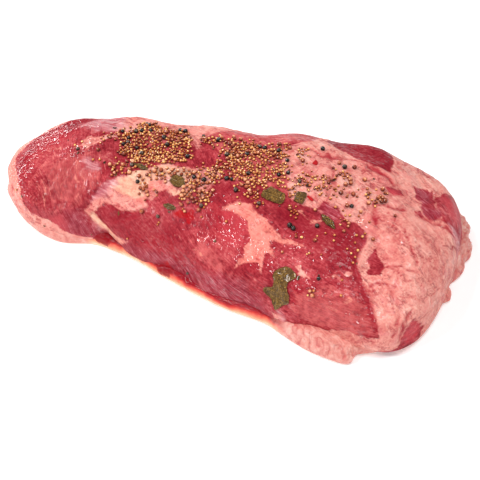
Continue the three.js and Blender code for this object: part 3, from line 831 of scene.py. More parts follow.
@dataclass
class Skin:
    """The slab's skin: what it is made of at each place and how high its fine relief stands."""

    form: SlabForm
    patches: tuple[Patch, ...] = PATCHES
    strokes: tuple[Stroke, ...] = STROKES
    creases: tuple[Crease, ...] = CREASES
    fat_stands_proud: float = 0.6
    reach: float = 14.0
    straying: tuple[tuple[float, float], ...] = ((9.0, 2.0), (4.2, 1.0))
    fold_slope: float = 0.45
    folds: tuple[tuple[float, float, float, float], ...] = (
        (15, 5.5, 0.07, 0.9),
        (9, 3.4, 0.09, 0.6),
        (5, 2.2, 0.13, 0.35),
    )
    fibre_slopes: tuple[tuple[float, float], ...] = (
        (-221, -1.4),
        (-188, -0.8),
        (-168, 1.2),
        (-150, 2.6),
        (-118, 2.2),
        (-95, 0.9),
        (-20, 0.75),
        (40, 0.55),
        (80, 0.2),
        (150, 0.1),
        (213, 0.4),
    )
    noise: LatticeNoise = field(default_factory=lambda: LatticeNoise(311))

    def grain(self, x: Array, turn: Array) -> Array:
        """Place along and across the muscle fibres: the arc plus the running sum of their slope.

        Args:
            x: Stations.
            turn: Turns.

        Returns:
            Two numbers for each place, in millimetres.
        """
        place, slope = np.array(self.fibre_slopes).T
        dense = np.linspace(place[0], place[-1], 900)
        risen = np.concatenate([[0], np.cumsum(np.diff(dense) * np.interp(dense[1:], place, slope))])
        across = turn * PER_DEGREE + np.interp(x, dense, risen)
        return np.stack([x, across], axis=-1)

    def strayed(self, x: Array, turn: Array) -> Array:
        """Points of the unrolled skin, pushed about so that edges drawn on it come out ragged.

        Args:
            x: Stations.
            turn: Turns.

        Returns:
            Two numbers for each place, in millimetres.
        """
        flat = unrolled(np.stack([x, turn], axis=-1))
        marks = np.stack([flat[..., 0], flat[..., 1], flat[..., 0] * 0], axis=-1)
        for size, push in self.straying:
            flat[..., 0] += push * self.noise.at(marks + 11, size)
            flat[..., 1] += push * self.noise.at(marks + 97, size)
        return flat

    def fat_folds(self, x: Array, turn: Array) -> Array:
        """Short broken creases of the fat: where random fields drawn out along it cross zero.

        Args:
            x: Stations.
            turn: Turns.

        Returns:
            How deep each place lies in a crease, from 0 to 1.
        """
        flat = self.strayed(x, turn)
        across = flat[..., 1] + self.fold_slope * flat[..., 0]
        deepest = np.zeros(x.shape)
        for k, (length, width, thin, depth) in enumerate(self.folds):
            drawn = np.stack([flat[..., 0] / length, across / width, across * 0 + 3.7 * k], axis=-1)
            line = np.exp(-((self.noise.at(drawn, 1.0) / thin) ** 2))
            there = smooth_step(self.noise.at(drawn + 40, 1.3), -0.1, 0.35)
            deepest = np.maximum(deepest, depth * line * there)
        return deepest

    def tissues(self, x: Array, turn: Array) -> dict[str, Array]:
        """Depth into each tissue, in millimetres: positive inside and negative outside it.

        Args:
            x: Stations.
            turn: Turns.

        Returns:
            One array for each tissue and line, by its attribute name.
        """
        flat = self.strayed(x, turn)
        depth = {tissue: np.full(x.shape, -self.reach) for tissue in Tissue}
        for patch in self.patches:
            found = depth_inside(flat, patch.outline) / patch.soft
            depth[patch.tissue] = np.maximum(depth[patch.tissue], found)
        island = depth.pop(Tissue.LEAN_ISLAND)
        depth[Tissue.FAT] = np.minimum(depth[Tissue.FAT], -island)
        fields = {tissue.value: np.minimum(value, self.reach) for tissue, value in depth.items()}
        for line in Line:
            fields[line.value] = np.full(x.shape, -self.reach)
        for stroke in self.strokes:
            path = np.array(stroke.path, float) * (1, PER_DEGREE)
            found = stroke.width / 2 - distance_to_path(flat, path)
            fields[stroke.line.value] = np.maximum(fields[stroke.line.value], found)
        return fields

    def fine_relief(
        self, x: Array, turn: Array, fields: dict[str, Array], places: Array
    ) -> tuple[Array, Array]:
        """Height of the creases, of the fat's lumps and of the wet wrinkles, in millimetres.

        The lumps are random heights of three sizes, cut by the fat's short creases. The wrinkles
        are random heights drawn out along the grain.

        Args:
            x: Stations.
            turn: Turns.
            fields: What tissues() gave for them.
            places: Points of the slab there.

        Returns:
            One height for each place, and how deep it lies in a groove, from 0 to 1; the finish paints
            shade by it.
        """
        flat = self.strayed(x, turn)
        height = np.zeros(x.shape)
        shaded_crease = np.zeros(x.shape)
        broken = 0.6 + 0.4 * smooth_step(self.noise.at(places + 70, 9), -0.3, 0.2)
        for line in self.creases:
            away = distance_to_path(flat, np.array(line.path, float) * (1, PER_DEGREE))
            groove = broken * np.exp(-((away / line.width) ** 2))
            lips = 0.35 * np.exp(-(((away - 2.2 * line.width) / line.width) ** 2))
            height += line.depth * (lips - groove)
            shaded_crease = np.maximum(shaded_crease, groove * min(1, line.depth))
        fat = smooth_step(fields["fat"], -0.6, 1.8)
        folded = self.fat_folds(x, turn)
        lumps = 0.7 * self.noise.at(places + 5, 9) + 0.35 * self.noise.at(places, 4)
        lumps += 0.14 * self.noise.at(places, 2.2) - folded
        lean = 0.4 * self.noise.at(places + 50, 15) + 0.2 * self.noise.at(places, 5)
        along, across = np.moveaxis(self.grain(x, turn), -1, 0)
        drawn = np.stack([along / 2.4, across, 0 * along], axis=-1)
        wet = smooth_step(fields["wet"], -1.5, 1.0)
        wrinkles = self.noise.at(drawn, 3.2) * (0.06 + 0.26 * wet)
        wrinkles += 0.45 * wet * self.noise.at(drawn + 20, 6.5)
        height += fat * (self.fat_stands_proud + lumps - 0.4) + (1 - fat) * (lean + wrinkles)
        fade = self.form.fade(x, turn)
        return height * fade, np.maximum(shaded_crease, fat * folded) * fade


@dataclass
class MeatSlab:
    """The lean slab with its fat, seams and membranes."""

    form: SlabForm
    skin: Skin
    finish: "MeatFinish"
    rings: int = 400
    open_turns: tuple[float, float, int] = (-24, 204, 222)
    belly_turns: int = 22

    def stations(self) -> Array:
        """Ring places spaced evenly along the skin, from its length along several turns.

        Returns:
            The stations, from tip to tip.
        """
        share = np.linspace(0, 1, 6000)
        span = self.form.tip_right - self.form.tip_left
        dense = self.form.tip_left + span * (1 - np.cos(np.pi * share)) / 2
        length = np.zeros(len(dense))
        for turn in (0, 45, 90, 135, 180):
            step = np.diff(self.form.plain(dense, np.full(len(dense), float(turn))), axis=0)
            length[1:] += np.cumsum(np.linalg.norm(step, axis=1))
        return np.interp(np.linspace(0, length[-1], self.rings), length, dense)

    def turns(self) -> Array:
        """Turns of the columns: close together on the open skin and wide apart under the belly.

        Returns:
            The turns, once round.
        """
        low, high, count = self.open_turns
        skin = np.linspace(low, high, count)
        belly = np.linspace(high, low + 360, self.belly_turns + 2)[1:-1]
        return np.concatenate([skin, belly])

    def build(self) -> bpy.types.Object:
        """Makes the slab: one ring of vertices a station, closed by a fan at each tip.

        Returns:
            The dressed piece.
        """
        x, turn = np.meshgrid(self.stations()[1:-1], self.turns(), indexing="ij")
        bare = self.form.surface(x, turn)
        fields = self.skin.tissues(x, turn)
        # The depth in the creases is kept for the finish, which paints shade into them.
        fine, fields["shaded_crease"] = self.skin.fine_relief(x, turn, fields, bare)
        points = bare + self.form.outward(x, turn) * fine[..., None]
        points[..., 2] = np.maximum(points[..., 2], self.form.belly_height)
        rows, columns = x.shape
        tips = self.form.plain(np.array([self.form.tip_left, self.form.tip_right]), np.zeros(2))
        vertices = np.vstack([points.reshape(-1, 3), tips])
        left = pole_fan(x.size, 0, columns, True)
        right = pole_fan(x.size + 1, x.size - columns, columns, False)
        piece = make_piece("meat_slab", vertices, grid_quads(rows, columns, True), (left, right))
        for name, values in fields.items():
            flat = values.ravel()
            store(piece, name, np.append(flat, [flat[0], flat[-1]]))
        grain = self.skin.grain(x, turn).reshape(-1, 2)
        store_uv(piece, "grain", np.vstack([grain, grain[:1], grain[-1:]]))
        piece.data.materials.append(self.finish.material())
        return piece


# The fat cap under the slab


@dataclass
class FatCap:
    """The plate of fat that the slab lies on, thick at its skirts and torn at its right end."""

    finish: "CapFinish"
    outline: Outline = (
        (-217, -8), (-203, -24), (-184, -40), (-160, -52), (-138, -55), (-112, -48), (-88, -50),
        (-62, -56), (-30, -67), (2, -77), (36, -85), (72, -89), (92, -97), (116, -106),
        (140, -110), (154, -109), (158, -97), (176, -86), (192, -66), (201, -38), (208, -18),
        (215, -6), (212, 9), (217, 26), (220, 50), (216, 74), (204, 98), (180, 114), (130, 126),
        (60, 122), (0, 112), (-60, 102), (-120, 91), (-175, 72), (-206, 40), (-220, 14),
    )
    centre: tuple[float, float] = (0, 12)
    thickness: float = 13.0
    skirts: tuple[tuple[float, float, float, float], ...] = (
        (118, -105, 42, 9),
        (214, 40, 62, 14),
        (-178, -44, 46, 4),
    )
    ragged_start: float = 160.0
    ragged_height: float = 2.2
    ragged_wave: float = 9.0
    edge: tuple[tuple[float, float], ...] = (
        (60, 0),
        (3, 0),
        (0.4, 0.22),
        (0, 0.5),
        (1.6, 0.78),
        (5, 0.93),
        (14, 1),
        (46, 1),
    )
    sides: tuple[float, float] = (-110.4, 126.2)
    near_side: tuple[float, float] = (-20, -40)
    clot_height: float = 9.5
    clot_rise: float = 5
    lip_start: tuple[float, float] = (-118, -106)
    lip_end: tuple[float, float] = (96, 74)
    outward_share: float = 0.8
    outward_most: float = 0.6
    upward_share: float = 0.5
    columns: int = 1000
    rows: int = 64
    noise: LatticeNoise = field(default_factory=lambda: LatticeNoise(977))

    def height_at(self, x: Array, y: Array) -> Array:
        """The cap's thickness, with a bell-shaped rise at each skirt.

        Args:
            x: Places along the slab.
            y: Places across it.

        Returns:
            One thickness for each place.
        """
        extra = np.zeros(x.shape)
        for place_x, place_y, reach, rise in self.skirts:
            away = np.hypot(x - place_x, y - place_y) / reach
            extra = np.maximum(extra, rise * np.exp(-2 * away * away))
        return self.thickness + extra

    def build(self) -> bpy.types.Object:
        """Makes the cap: the edge profile carried round the outline, from below to above.

        Returns:
            The dressed piece.
        """
        rim = catmull_rom_ring(np.array(self.outline, float), self.columns)
        centre = np.array(self.centre, float)
        inward = centre - rim
        inward /= np.linalg.norm(inward, axis=1, keepdims=True)
        wave = rim[:, 1] / self.ragged_wave
        tear = 0.6 * (0.5 * np.sin(3.1 * wave) + np.sin(1.7 * wave))
        tear *= self.ragged_height * smooth_step(rim[:, 0], self.ragged_start, self.ragged_start + 40)
        inset, share = np.array(self.edge, float).T
        knots = np.concatenate([[0], np.cumsum(np.hypot(np.diff(inset), np.diff(share * 20)))])
        spread = np.interp(np.linspace(0, 1, self.rows), (0, 0.1, 0.9, 1), (0, 0.36, 0.72, 1))
        place = spread * knots[-1]
        inset = np.interp(place, knots, inset)
        share = np.interp(place, knots, share)
        flat = rim[None] + inward[None] * (inset[:, None] + np.maximum(tear, -1.5)[None])[..., None]
        full = np.where(share[:, None] > 0.9, self.height_at(flat[..., 0], flat[..., 1]), self.thickness)
        points = np.concatenate([flat, (share[:, None] * full)[..., None]], axis=-1)
        free = smooth_step(points[..., 2], 0.5, 4)
        fine = 0.7 * self.noise.at(points, 9) + 0.35 * self.noise.at(points, 3.5)
        torn = smooth_step(points[..., 0], self.ragged_start, self.ragged_start + 40)
        fold = np.exp(-((self.noise.at(points * (1, 1, 0.25), 6) / 0.12) ** 2))
        small_fold = np.exp(-((self.noise.at(points * (1, 1, 0.3) + 30, 3) / 0.16) ** 2))
        flap = np.exp(-(((points[..., 0] - 120) / 44) ** 2)) * smooth_step(-points[..., 1], 70, 90)
        shaded_crease = np.maximum(fold, 0.6 * small_fold) * (0.25 + 0.75 * np.maximum(torn, flap)) * free
        fine += 0.7 * torn * self.noise.at(points * (1, 1, 0.3), 4) - 1.5 * shaded_crease
        clot = np.exp(-(((points[..., 0] + 32) / 9) ** 2)) + np.exp(-(((points[..., 0] + 101) / 9) ** 2))
        clot *= bell(points[..., 2] - self.clot_height, self.clot_rise)
        clot *= smooth_step(points[..., 1], *self.near_side)
        fine += 1.6 * clot * self.noise.at(points + 60, 2.6)
        pushed = np.minimum(fine, self.outward_most) * free * -self.outward_share
        points[..., :2] += inward[None] * pushed[..., None]
        points[..., 1] = np.clip(points[..., 1], *self.sides)
        points[..., 2] += fine * free * self.upward_share
        ends = np.array([[*self.centre, 0], [*self.centre, self.thickness]], float)
        total = self.rows * self.columns
        low = pole_fan(total, 0, self.columns, False)
        high = pole_fan(total + 1, total - self.columns, self.columns, True)
        quads = grid_quads(self.rows, self.columns, True)[:, ::-1]
        piece = make_piece("fat_cap", np.vstack([points.reshape(-1, 3), ends]), quads, (low, high))
        from_edge = np.broadcast_to(inset[:, None], points.shape[:2])
        store(piece, "from_edge", np.append(from_edge.ravel(), [inset[0], inset[0]]))
        lip = smooth_step(points[..., 0], *self.lip_start) * smooth_step(points[..., 0], *self.lip_end)
        lip *= smooth_step(points[..., 1], *self.near_side)
        # The mask of the creases is kept for the finish, which paints shade into them.
        for name, values in {"shaded_crease": shaded_crease, "clot": clot, "lip": lip}.items():
            store(piece, name, np.append(values.ravel(), [0, 0]))
        piece.data.materials.append(self.finish.material())
        return piece


# Spices


@dataclass(frozen=True)
class SpiceShape:
    """How one kind of spice is formed and how far it sinks into the meat, in radii."""

    radius: float
    uneven: float
    sunk: float
    facets: int
    flatten: float
    wrinkle: float
    ribs: float


SPICE_SHAPES = {
    Spice.MUSTARD: SpiceShape(1.15, 0.3, 0.15, 2, 0.95, 0.0, 0.0),
    Spice.CORIANDER: SpiceShape(1.75, 0.28, 0.2, 4, 0.96, 0.02, 0.035),
    Spice.PEPPERCORN: SpiceShape(2.1, 0.16, 0.3, 5, 0.92, 0.12, 0.0),
}


@dataclass(frozen=True)
class Pile:
    """An area strewn with so many mustard and coriander seeds."""

    outline: Outline
    mustard: int
    coriander: int


PILES = (
    Pile((
        (-113, 94), (-106, 100), (-101, 109), (-93, 110), (-84, 102), (-73, 104), (-63, 107),
        (-54, 102), (-47, 95), (-44, 89), (-39, 85), (-45, 82), (-50, 78), (-61, 77), (-68, 73),
        (-77, 73), (-92, 76), (-103, 80), (-110, 87),
    ), 430, 20),
    Pile(((-128, 87), (-124, 89), (-122, 94), (-116, 100), (-112, 94), (-117, 90)), 12, 5),
    Pile((
        (-103, 64), (-95, 68), (-87, 71), (-73, 73), (-72, 69), (-83, 64), (-88, 60), (-95, 60),
        (-99, 57),
    ), 26, 9),
    Pile((
        (-66, 65), (-61, 68), (-52, 70), (-43, 73), (-35, 75), (-23, 74), (-14, 72), (-15, 70),
        (-23, 66), (-31, 62), (-46, 63), (-52, 63), (-62, 62),
    ), 24, 34),
    Pile(((-76, 60), (-71, 61), (-66, 59), (-63, 52), (-67, 50), (-71, 55)), 4, 8),
    Pile((
        (-30, 61), (-21, 62), (-13, 64), (-4, 65), (-1, 58), (-6, 54), (-17, 56), (-25, 50),
        (-28, 55),
    ), 30, 22),
    Pile(((-58, 51), (-52, 53), (-50, 48), (-55, 47)), 1, 3),
    Pile((
        (-39, 101), (-36, 104), (-23, 103), (-11, 105), (7, 105), (14, 98), (22, 84), (13, 81),
        (8, 75), (0, 74), (-5, 72), (-10, 72), (-11, 77), (-16, 81), (-13, 86), (-9, 88),
        (-12, 94), (-22, 97), (-33, 98),
    ), 170, 16),
    Pile((
        (-1, 103), (11, 102), (20, 100), (28, 98), (37, 98), (44, 95), (40, 89), (48, 89),
        (54, 89), (55, 85), (54, 82), (52, 79), (42, 79), (37, 76), (32, 76), (22, 77), (12, 79),
        (4, 84), (-4, 92),
    ), 250, 10),
    Pile(((-26, 79), (-15, 80), (-3, 82), (-3, 78), (-10, 76), (-20, 76)), 16, 5),
    Pile(((18, 77), (32, 76), (36, 70), (45, 66), (43, 64), (35, 67), (26, 72)), 26, 6),
    Pile(((33, 107), (41, 107), (43, 100), (35, 101)), 8, 3),
    Pile(((50, 103), (59, 103), (64, 97), (65, 92), (61, 93), (54, 99)), 12, 3),
    Pile(((62, 85), (76, 87), (80, 84), (74, 82), (66, 82)), 16, 2),
    Pile((
        (78, 87), (84, 88), (92, 89), (95, 88), (94, 83), (88, 81), (84, 81), (86, 84), (89, 85),
    ), 26, 4),
    Pile(((69, 68), (77, 68), (80, 65), (79, 64), (73, 65)), 10, 1),
    Pile(((59, 79), (67, 79), (69, 75), (63, 75)), 8, 2),
    Pile(((127, 87), (131, 90), (138, 91), (143, 88), (138, 84), (130, 84)), 12, 9),
    Pile(((103, 93), (110, 93), (111, 89), (107, 86), (105, 89)), 8, 3),
    Pile(((113, 72), (121, 73), (125, 71), (122, 69), (114, 70)), 8, 2),
    Pile(((-60, 108), (-20, 106), (40, 108), (66, 100), (60, 90), (20, 104), (-30, 108)), 14, 1),
    Pile(((56, 86), (96, 96), (126, 92), (130, 76), (100, 78), (70, 76)), 22, 2),
    Pile(((70, 62), (130, 66), (142, 60), (130, 44), (90, 48)), 12, 0),
    Pile(((-150, 92), (-112, 96), (-100, 66), (-118, 62), (-140, 72)), 5, 1),
)

CORIANDER_STRAYS: Outline = (
    (93, 99), (98, 91), (90, 94), (107, 99), (120, 93), (106, 83), (116, 85), (128, 78), (91, 71),
    (101, 55), (77, 43), (84, 54), (121, 65), (146, 68), (156, 83), (-59, 36), (79, 87), (110, 27),
    (113, 25), (-25, 58), (-8, 60), (-13, 57),
)
MUSTARD_STRAYS: Outline = (
    (110, 49), (116, 58), (133, 56), (132, 66), (137, 67), (138, 69), (138, 75), (113, 28),
    (109, 24), (133, 40), (136, 31), (-41, 33), (-42, 31), (-70, 8), (27, 62), (22, 66), (21, 50),
    (-193, 16), (-60, 45),
)
PEPPERCORNS: Outline = (
    (-97, 110), (-93, 108), (-102, 98), (-97, 99), (-88, 100), (-115, 97), (-104, 88), (-107, 86),
    (-106, 91), (-93, 85), (-90, 85), (-85, 81), (-72, 95), (-66, 90), (-41, 85), (-62, 107),
    (-57, 107), (-85, 67), (-38, 105), (-21, 101), (-6, 90), (18, 102), (23, 101), (12, 92),
    (25, 89), (32, 90), (38, 91), (37, 87), (49, 92), (55, 86), (48, 84), (22, 81), (5, 76),
    (10, 76), (-25, 72), (-15, 72), (-73, 56), (-7, 55), (-43, 37), (18, 70), (68, 83), (73, 108),
    (70, 72), (43, 65), (75, 59), (79, 58), (98, 63), (37, 99), (99, 97), (119, 79), (-146, 79),
    (114, 36),
)


class SpiceBed:
    """Lays the spices: each rests on the meat, or on the spices already under it."""

    heap_limit = 1.5
    closeness = 0.88
    spill = 1.7
    tries = 14

    def __init__(
        self, form: SlabForm, skin: Skin, leaves: Sequence["BayLeaf"], ceiling: float, seed: int
    ) -> None:
        """Starts an empty bed.

        Args:
            form: The slab that the spices lie on.
            skin: Its skin, for the height of its fine relief.
            leaves: The leaf pieces that the spices keep off.
            ceiling: How high a spice may reach, in millimetres.
            seed: Starts the random numbers.
        """
        self.form = form
        self.ceiling = ceiling
        self.skin = skin
        self.leaf_edges = [leaf.edge_outline() for leaf in leaves]
        self.random = np.random.default_rng(seed)
        self.centres = np.empty((0, 3))
        self.radii = np.empty(0)
        self.kinds: list[Spice] = []
        self.ups = np.empty((0, 3))

    def feet(self, places: Array) -> tuple[Array, Array]:
        """Points of the finished skin and the ways out of it.

        Args:
            places: Stations and turns.

        Returns:
            A point and a unit vector for each place.
        """
        x, turn = places.T
        bare = self.form.surface(x, turn)
        up = self.form.outward(x, turn)
        fine, _ = self.skin.fine_relief(x, turn, self.skin.tissues(x, turn), bare)
        return bare + up * fine[:, None], up

    def lay(self, kind: Spice, places: Array, wanted: int) -> None:
        """Lays spices of one kind at the places in turn, until enough of them lie.

        A spice's height is the least that clears every spice under it, by the distance of
        their centres; one that would lie above the heap's limit is left out.

        Args:
            kind: The spice.
            places: Stations and turns to try.
            wanted: How many to lay.
        """
        shape = SPICE_SHAPES[kind]
        clear = np.ones(len(places), bool)
        for outline in self.leaf_edges:
            clear &= depth_inside(places * (1, PER_DEGREE), outline) < -shape.radius * 0.4
        places = places[clear]
        if len(places) == 0:
            return
        feet, ups = self.feet(places)
        radii = shape.radius * (1 + shape.uneven * self.random.uniform(-1, 1, len(places)))
        kept = 0
        for foot, up, radius in zip(feet, ups, radii):
            if kept >= wanted:
                break
            rise = radius * (1 - shape.sunk)
            offset = self.centres - foot
            along = offset @ up
            aside = np.sqrt(np.maximum((offset**2).sum(axis=1) - along**2, 0))
            reach = self.closeness * (self.radii + radius)
            over = aside < reach
            if over.any():
                rest = along[over] + np.sqrt(reach[over] ** 2 - aside[over] ** 2)
                rise = max(rise, float(rest.max()))
            if rise > self.heap_limit + radius * 0.6 or foot[2] + up[2] * rise + radius > self.ceiling:
                continue
            self.centres = np.vstack([self.centres, foot + up * rise])
            self.ups = np.vstack([self.ups, up])
            self.radii = np.append(self.radii, radius)
            self.kinds.append(kind)
            kept += 1

    def spread(self, outline: Outline, count: int) -> Array:
        """Random places within an outline, a little spilt over its edge.

        Args:
            outline: Stations and turns of the corners.
            count: How many spices are to lie there.

        Returns:
            More stations and turns than that, in random order.
        """
        corners = np.array(outline, float)
        low, high = corners.min(axis=0) - 3, corners.max(axis=0) + 3
        places = self.random.uniform(low, high, (count * 12, 2))
        depth = depth_inside(places * (1, PER_DEGREE), outline)
        return places[depth > -self.random.exponential(self.spill, len(places))][: count * self.tries]

    def strew(self) -> None:
        """Lays the placed peppercorns and strays, then each pile's coriander and mustard."""
        self.lay(Spice.PEPPERCORN, np.array(PEPPERCORNS, float), len(PEPPERCORNS))
        self.lay(Spice.CORIANDER, np.array(CORIANDER_STRAYS, float), len(CORIANDER_STRAYS))
        self.lay(Spice.MUSTARD, np.array(MUSTARD_STRAYS, float), len(MUSTARD_STRAYS))
        for pile in PILES:
            self.lay(Spice.CORIANDER, self.spread(pile.outline, max(pile.coriander, 1)), pile.coriander)
        for pile in PILES:
            self.lay(Spice.MUSTARD, self.spread(pile.outline, max(pile.mustard, 1)), pile.mustard)


def cube_ball(facets: int) -> tuple[Array, Array]:
    """A unit ball made from a cube's faces, so that it has no poles.

    Each face is a grid of equal angles, and its points are pushed out to the ball.

    Args:
        facets: Quads along a cube edge.

    Returns:
        The vertices and the quads.
    """
    angle = np.tan(np.linspace(-math.pi / 4, math.pi / 4, facets + 1))
    u, v = np.meshgrid(angle, angle, indexing="ij")
    one = np.ones_like(u)
    sides = [(one, u, v), (u, -one, v), (u, v, one), (-one, -u, v), (-u, one, v), (-u, v, -one)]
    points = np.concatenate([np.stack(side, axis=-1).reshape(-1, 3) for side in sides])
    points /= np.linalg.norm(points, axis=1, keepdims=True)
    quads = np.concatenate(
        [grid_quads(facets + 1, facets + 1, False) + k * (facets + 1) ** 2 for k in range(6)]
    )
    unique, index = np.unique(points.round(6), axis=0, return_inverse=True)
    quads = index.ravel()[quads]
    a, b, d = unique[quads[:, 0]], unique[quads[:, 1]], unique[quads[:, 3]]
    inward = (np.cross(b - a, d - a) * unique[quads].mean(axis=1)).sum(axis=1) < 0
    quads[inward] = quads[inward][:, ::-1]
    return unique, quads


@dataclass
class SpicePiece:
    """All the spices of one kind as one joined mesh."""

    kind: Spice
    bed: SpiceBed
    finish: "SeedFinish"
    # How much paler a seed is painted on its top than low down: painted light.
    painted_light_on_top: float = 0.58
    noise: LatticeNoise = field(default_factory=lambda: LatticeNoise(53))

    def build(self) -> bpy.types.Object:
        """Copies the spice's ball to every place: flattened, wrinkled or ribbed, and turned.

        Returns:
            The dressed piece.
        """
        shape = SPICE_SHAPES[self.kind]
        chosen = np.array([kind is self.kind for kind in self.bed.kinds])
        centres, radii = self.bed.centres[chosen], self.bed.radii[chosen]
        ball, quads = cube_ball(shape.facets)
        count = len(centres)
        random = np.random.default_rng(len(ball) + count)
        axis = self.bed.ups[chosen] + random.normal(0, 0.6, (count, 3))
        axis /= np.linalg.norm(axis, axis=1, keepdims=True)
        side = np.cross(axis, random.normal(0, 1, (count, 3)))
        side /= np.linalg.norm(side, axis=1, keepdims=True)
        frames = np.stack([side, np.cross(axis, side), axis], axis=-1)
        grown = np.ones((count, len(ball)))
        if shape.wrinkle:
            marks = ball[None] + np.arange(count)[:, None, None] * 7.3
            grown += shape.wrinkle * self.noise.at(marks, 0.55)
        if shape.ribs:
            azimuth = np.arctan2(ball[:, 1], ball[:, 0])
            grown += shape.ribs * np.cos(9 * azimuth) * (1 - ball[:, 2] ** 2)
        body = ball * (1, 1, shape.flatten)
        local = body[None] * (grown * radii[:, None])[..., None]
        points = centres[:, None] + np.einsum("nij,nvj->nvi", frames, local)
        faces = quads[None] + (np.arange(count) * len(ball))[:, None, None]
        piece = make_piece(self.kind.value, points.reshape(-1, 3), faces.reshape(-1, 4))
        # Each seed's tone is its own random shade plus painted light, paler on its top and darker low down.
        height = np.einsum("nij,nvj,ni->nv", frames, body[None] * grown[..., None], self.bed.ups[chosen])
        tone = random.uniform(-0.06, 0.6, count)[:, None] + self.painted_light_on_top * height
        store(piece, "tone", tone.ravel())
        piece.data.materials.append(self.finish.material())
        return piece


@dataclass
class Flakes:
    """Thin irregular chips of one kind, such as chilli or crumbled leaf, lying on the skin."""

    name: str
    bed: SpiceBed
    places: Outline
    length: tuple[float, float]
    finish: "SeedFinish"
    seed: int

    def build(self) -> bpy.types.Object:
        """Makes each chip: a ball flattened to a shard, its outline pulled about by noise.

        Returns:
            The dressed piece.
        """
        random = np.random.default_rng(self.seed)
        feet, ups = self.bed.feet(np.array(self.places, float))
        ball, quads = cube_ball(4)
        count = len(feet)
        side = np.cross(ups, random.normal(0, 1, (count, 3)))
        side /= np.linalg.norm(side, axis=1, keepdims=True)
        frames = np.stack([side, np.cross(ups, side), ups], axis=-1)
        half = random.uniform(*self.length, count)[:, None] / 2
        size = np.concatenate([half, half * random.uniform(0.45, 0.8, (count, 1)), half * 0 + 0.28], axis=1)
        marks = ball[None] * (1, 1, 0.2) + np.arange(count)[:, None, None] * 5.1
        jagged = 1 + 0.42 * LatticeNoise(self.seed).at(marks, 0.7)
        local = ball[None] * size[:, None] * jagged[..., None]
        local[..., 2] += 0.12 * local[..., 0] ** 2 / half
        points = feet[:, None] + np.einsum("nij,nvj->nvi", frames, local) + ups[:, None] * 0.35
        faces = quads[None] + (np.arange(count) * len(ball))[:, None, None]
        piece = make_piece(self.name, points.reshape(-1, 3), faces.reshape(-1, 4))
        store(piece, "tone", np.repeat(random.uniform(0, 1, count), len(ball)))
        piece.data.materials.append(self.finish.material())
        return piece


# Bay leaf


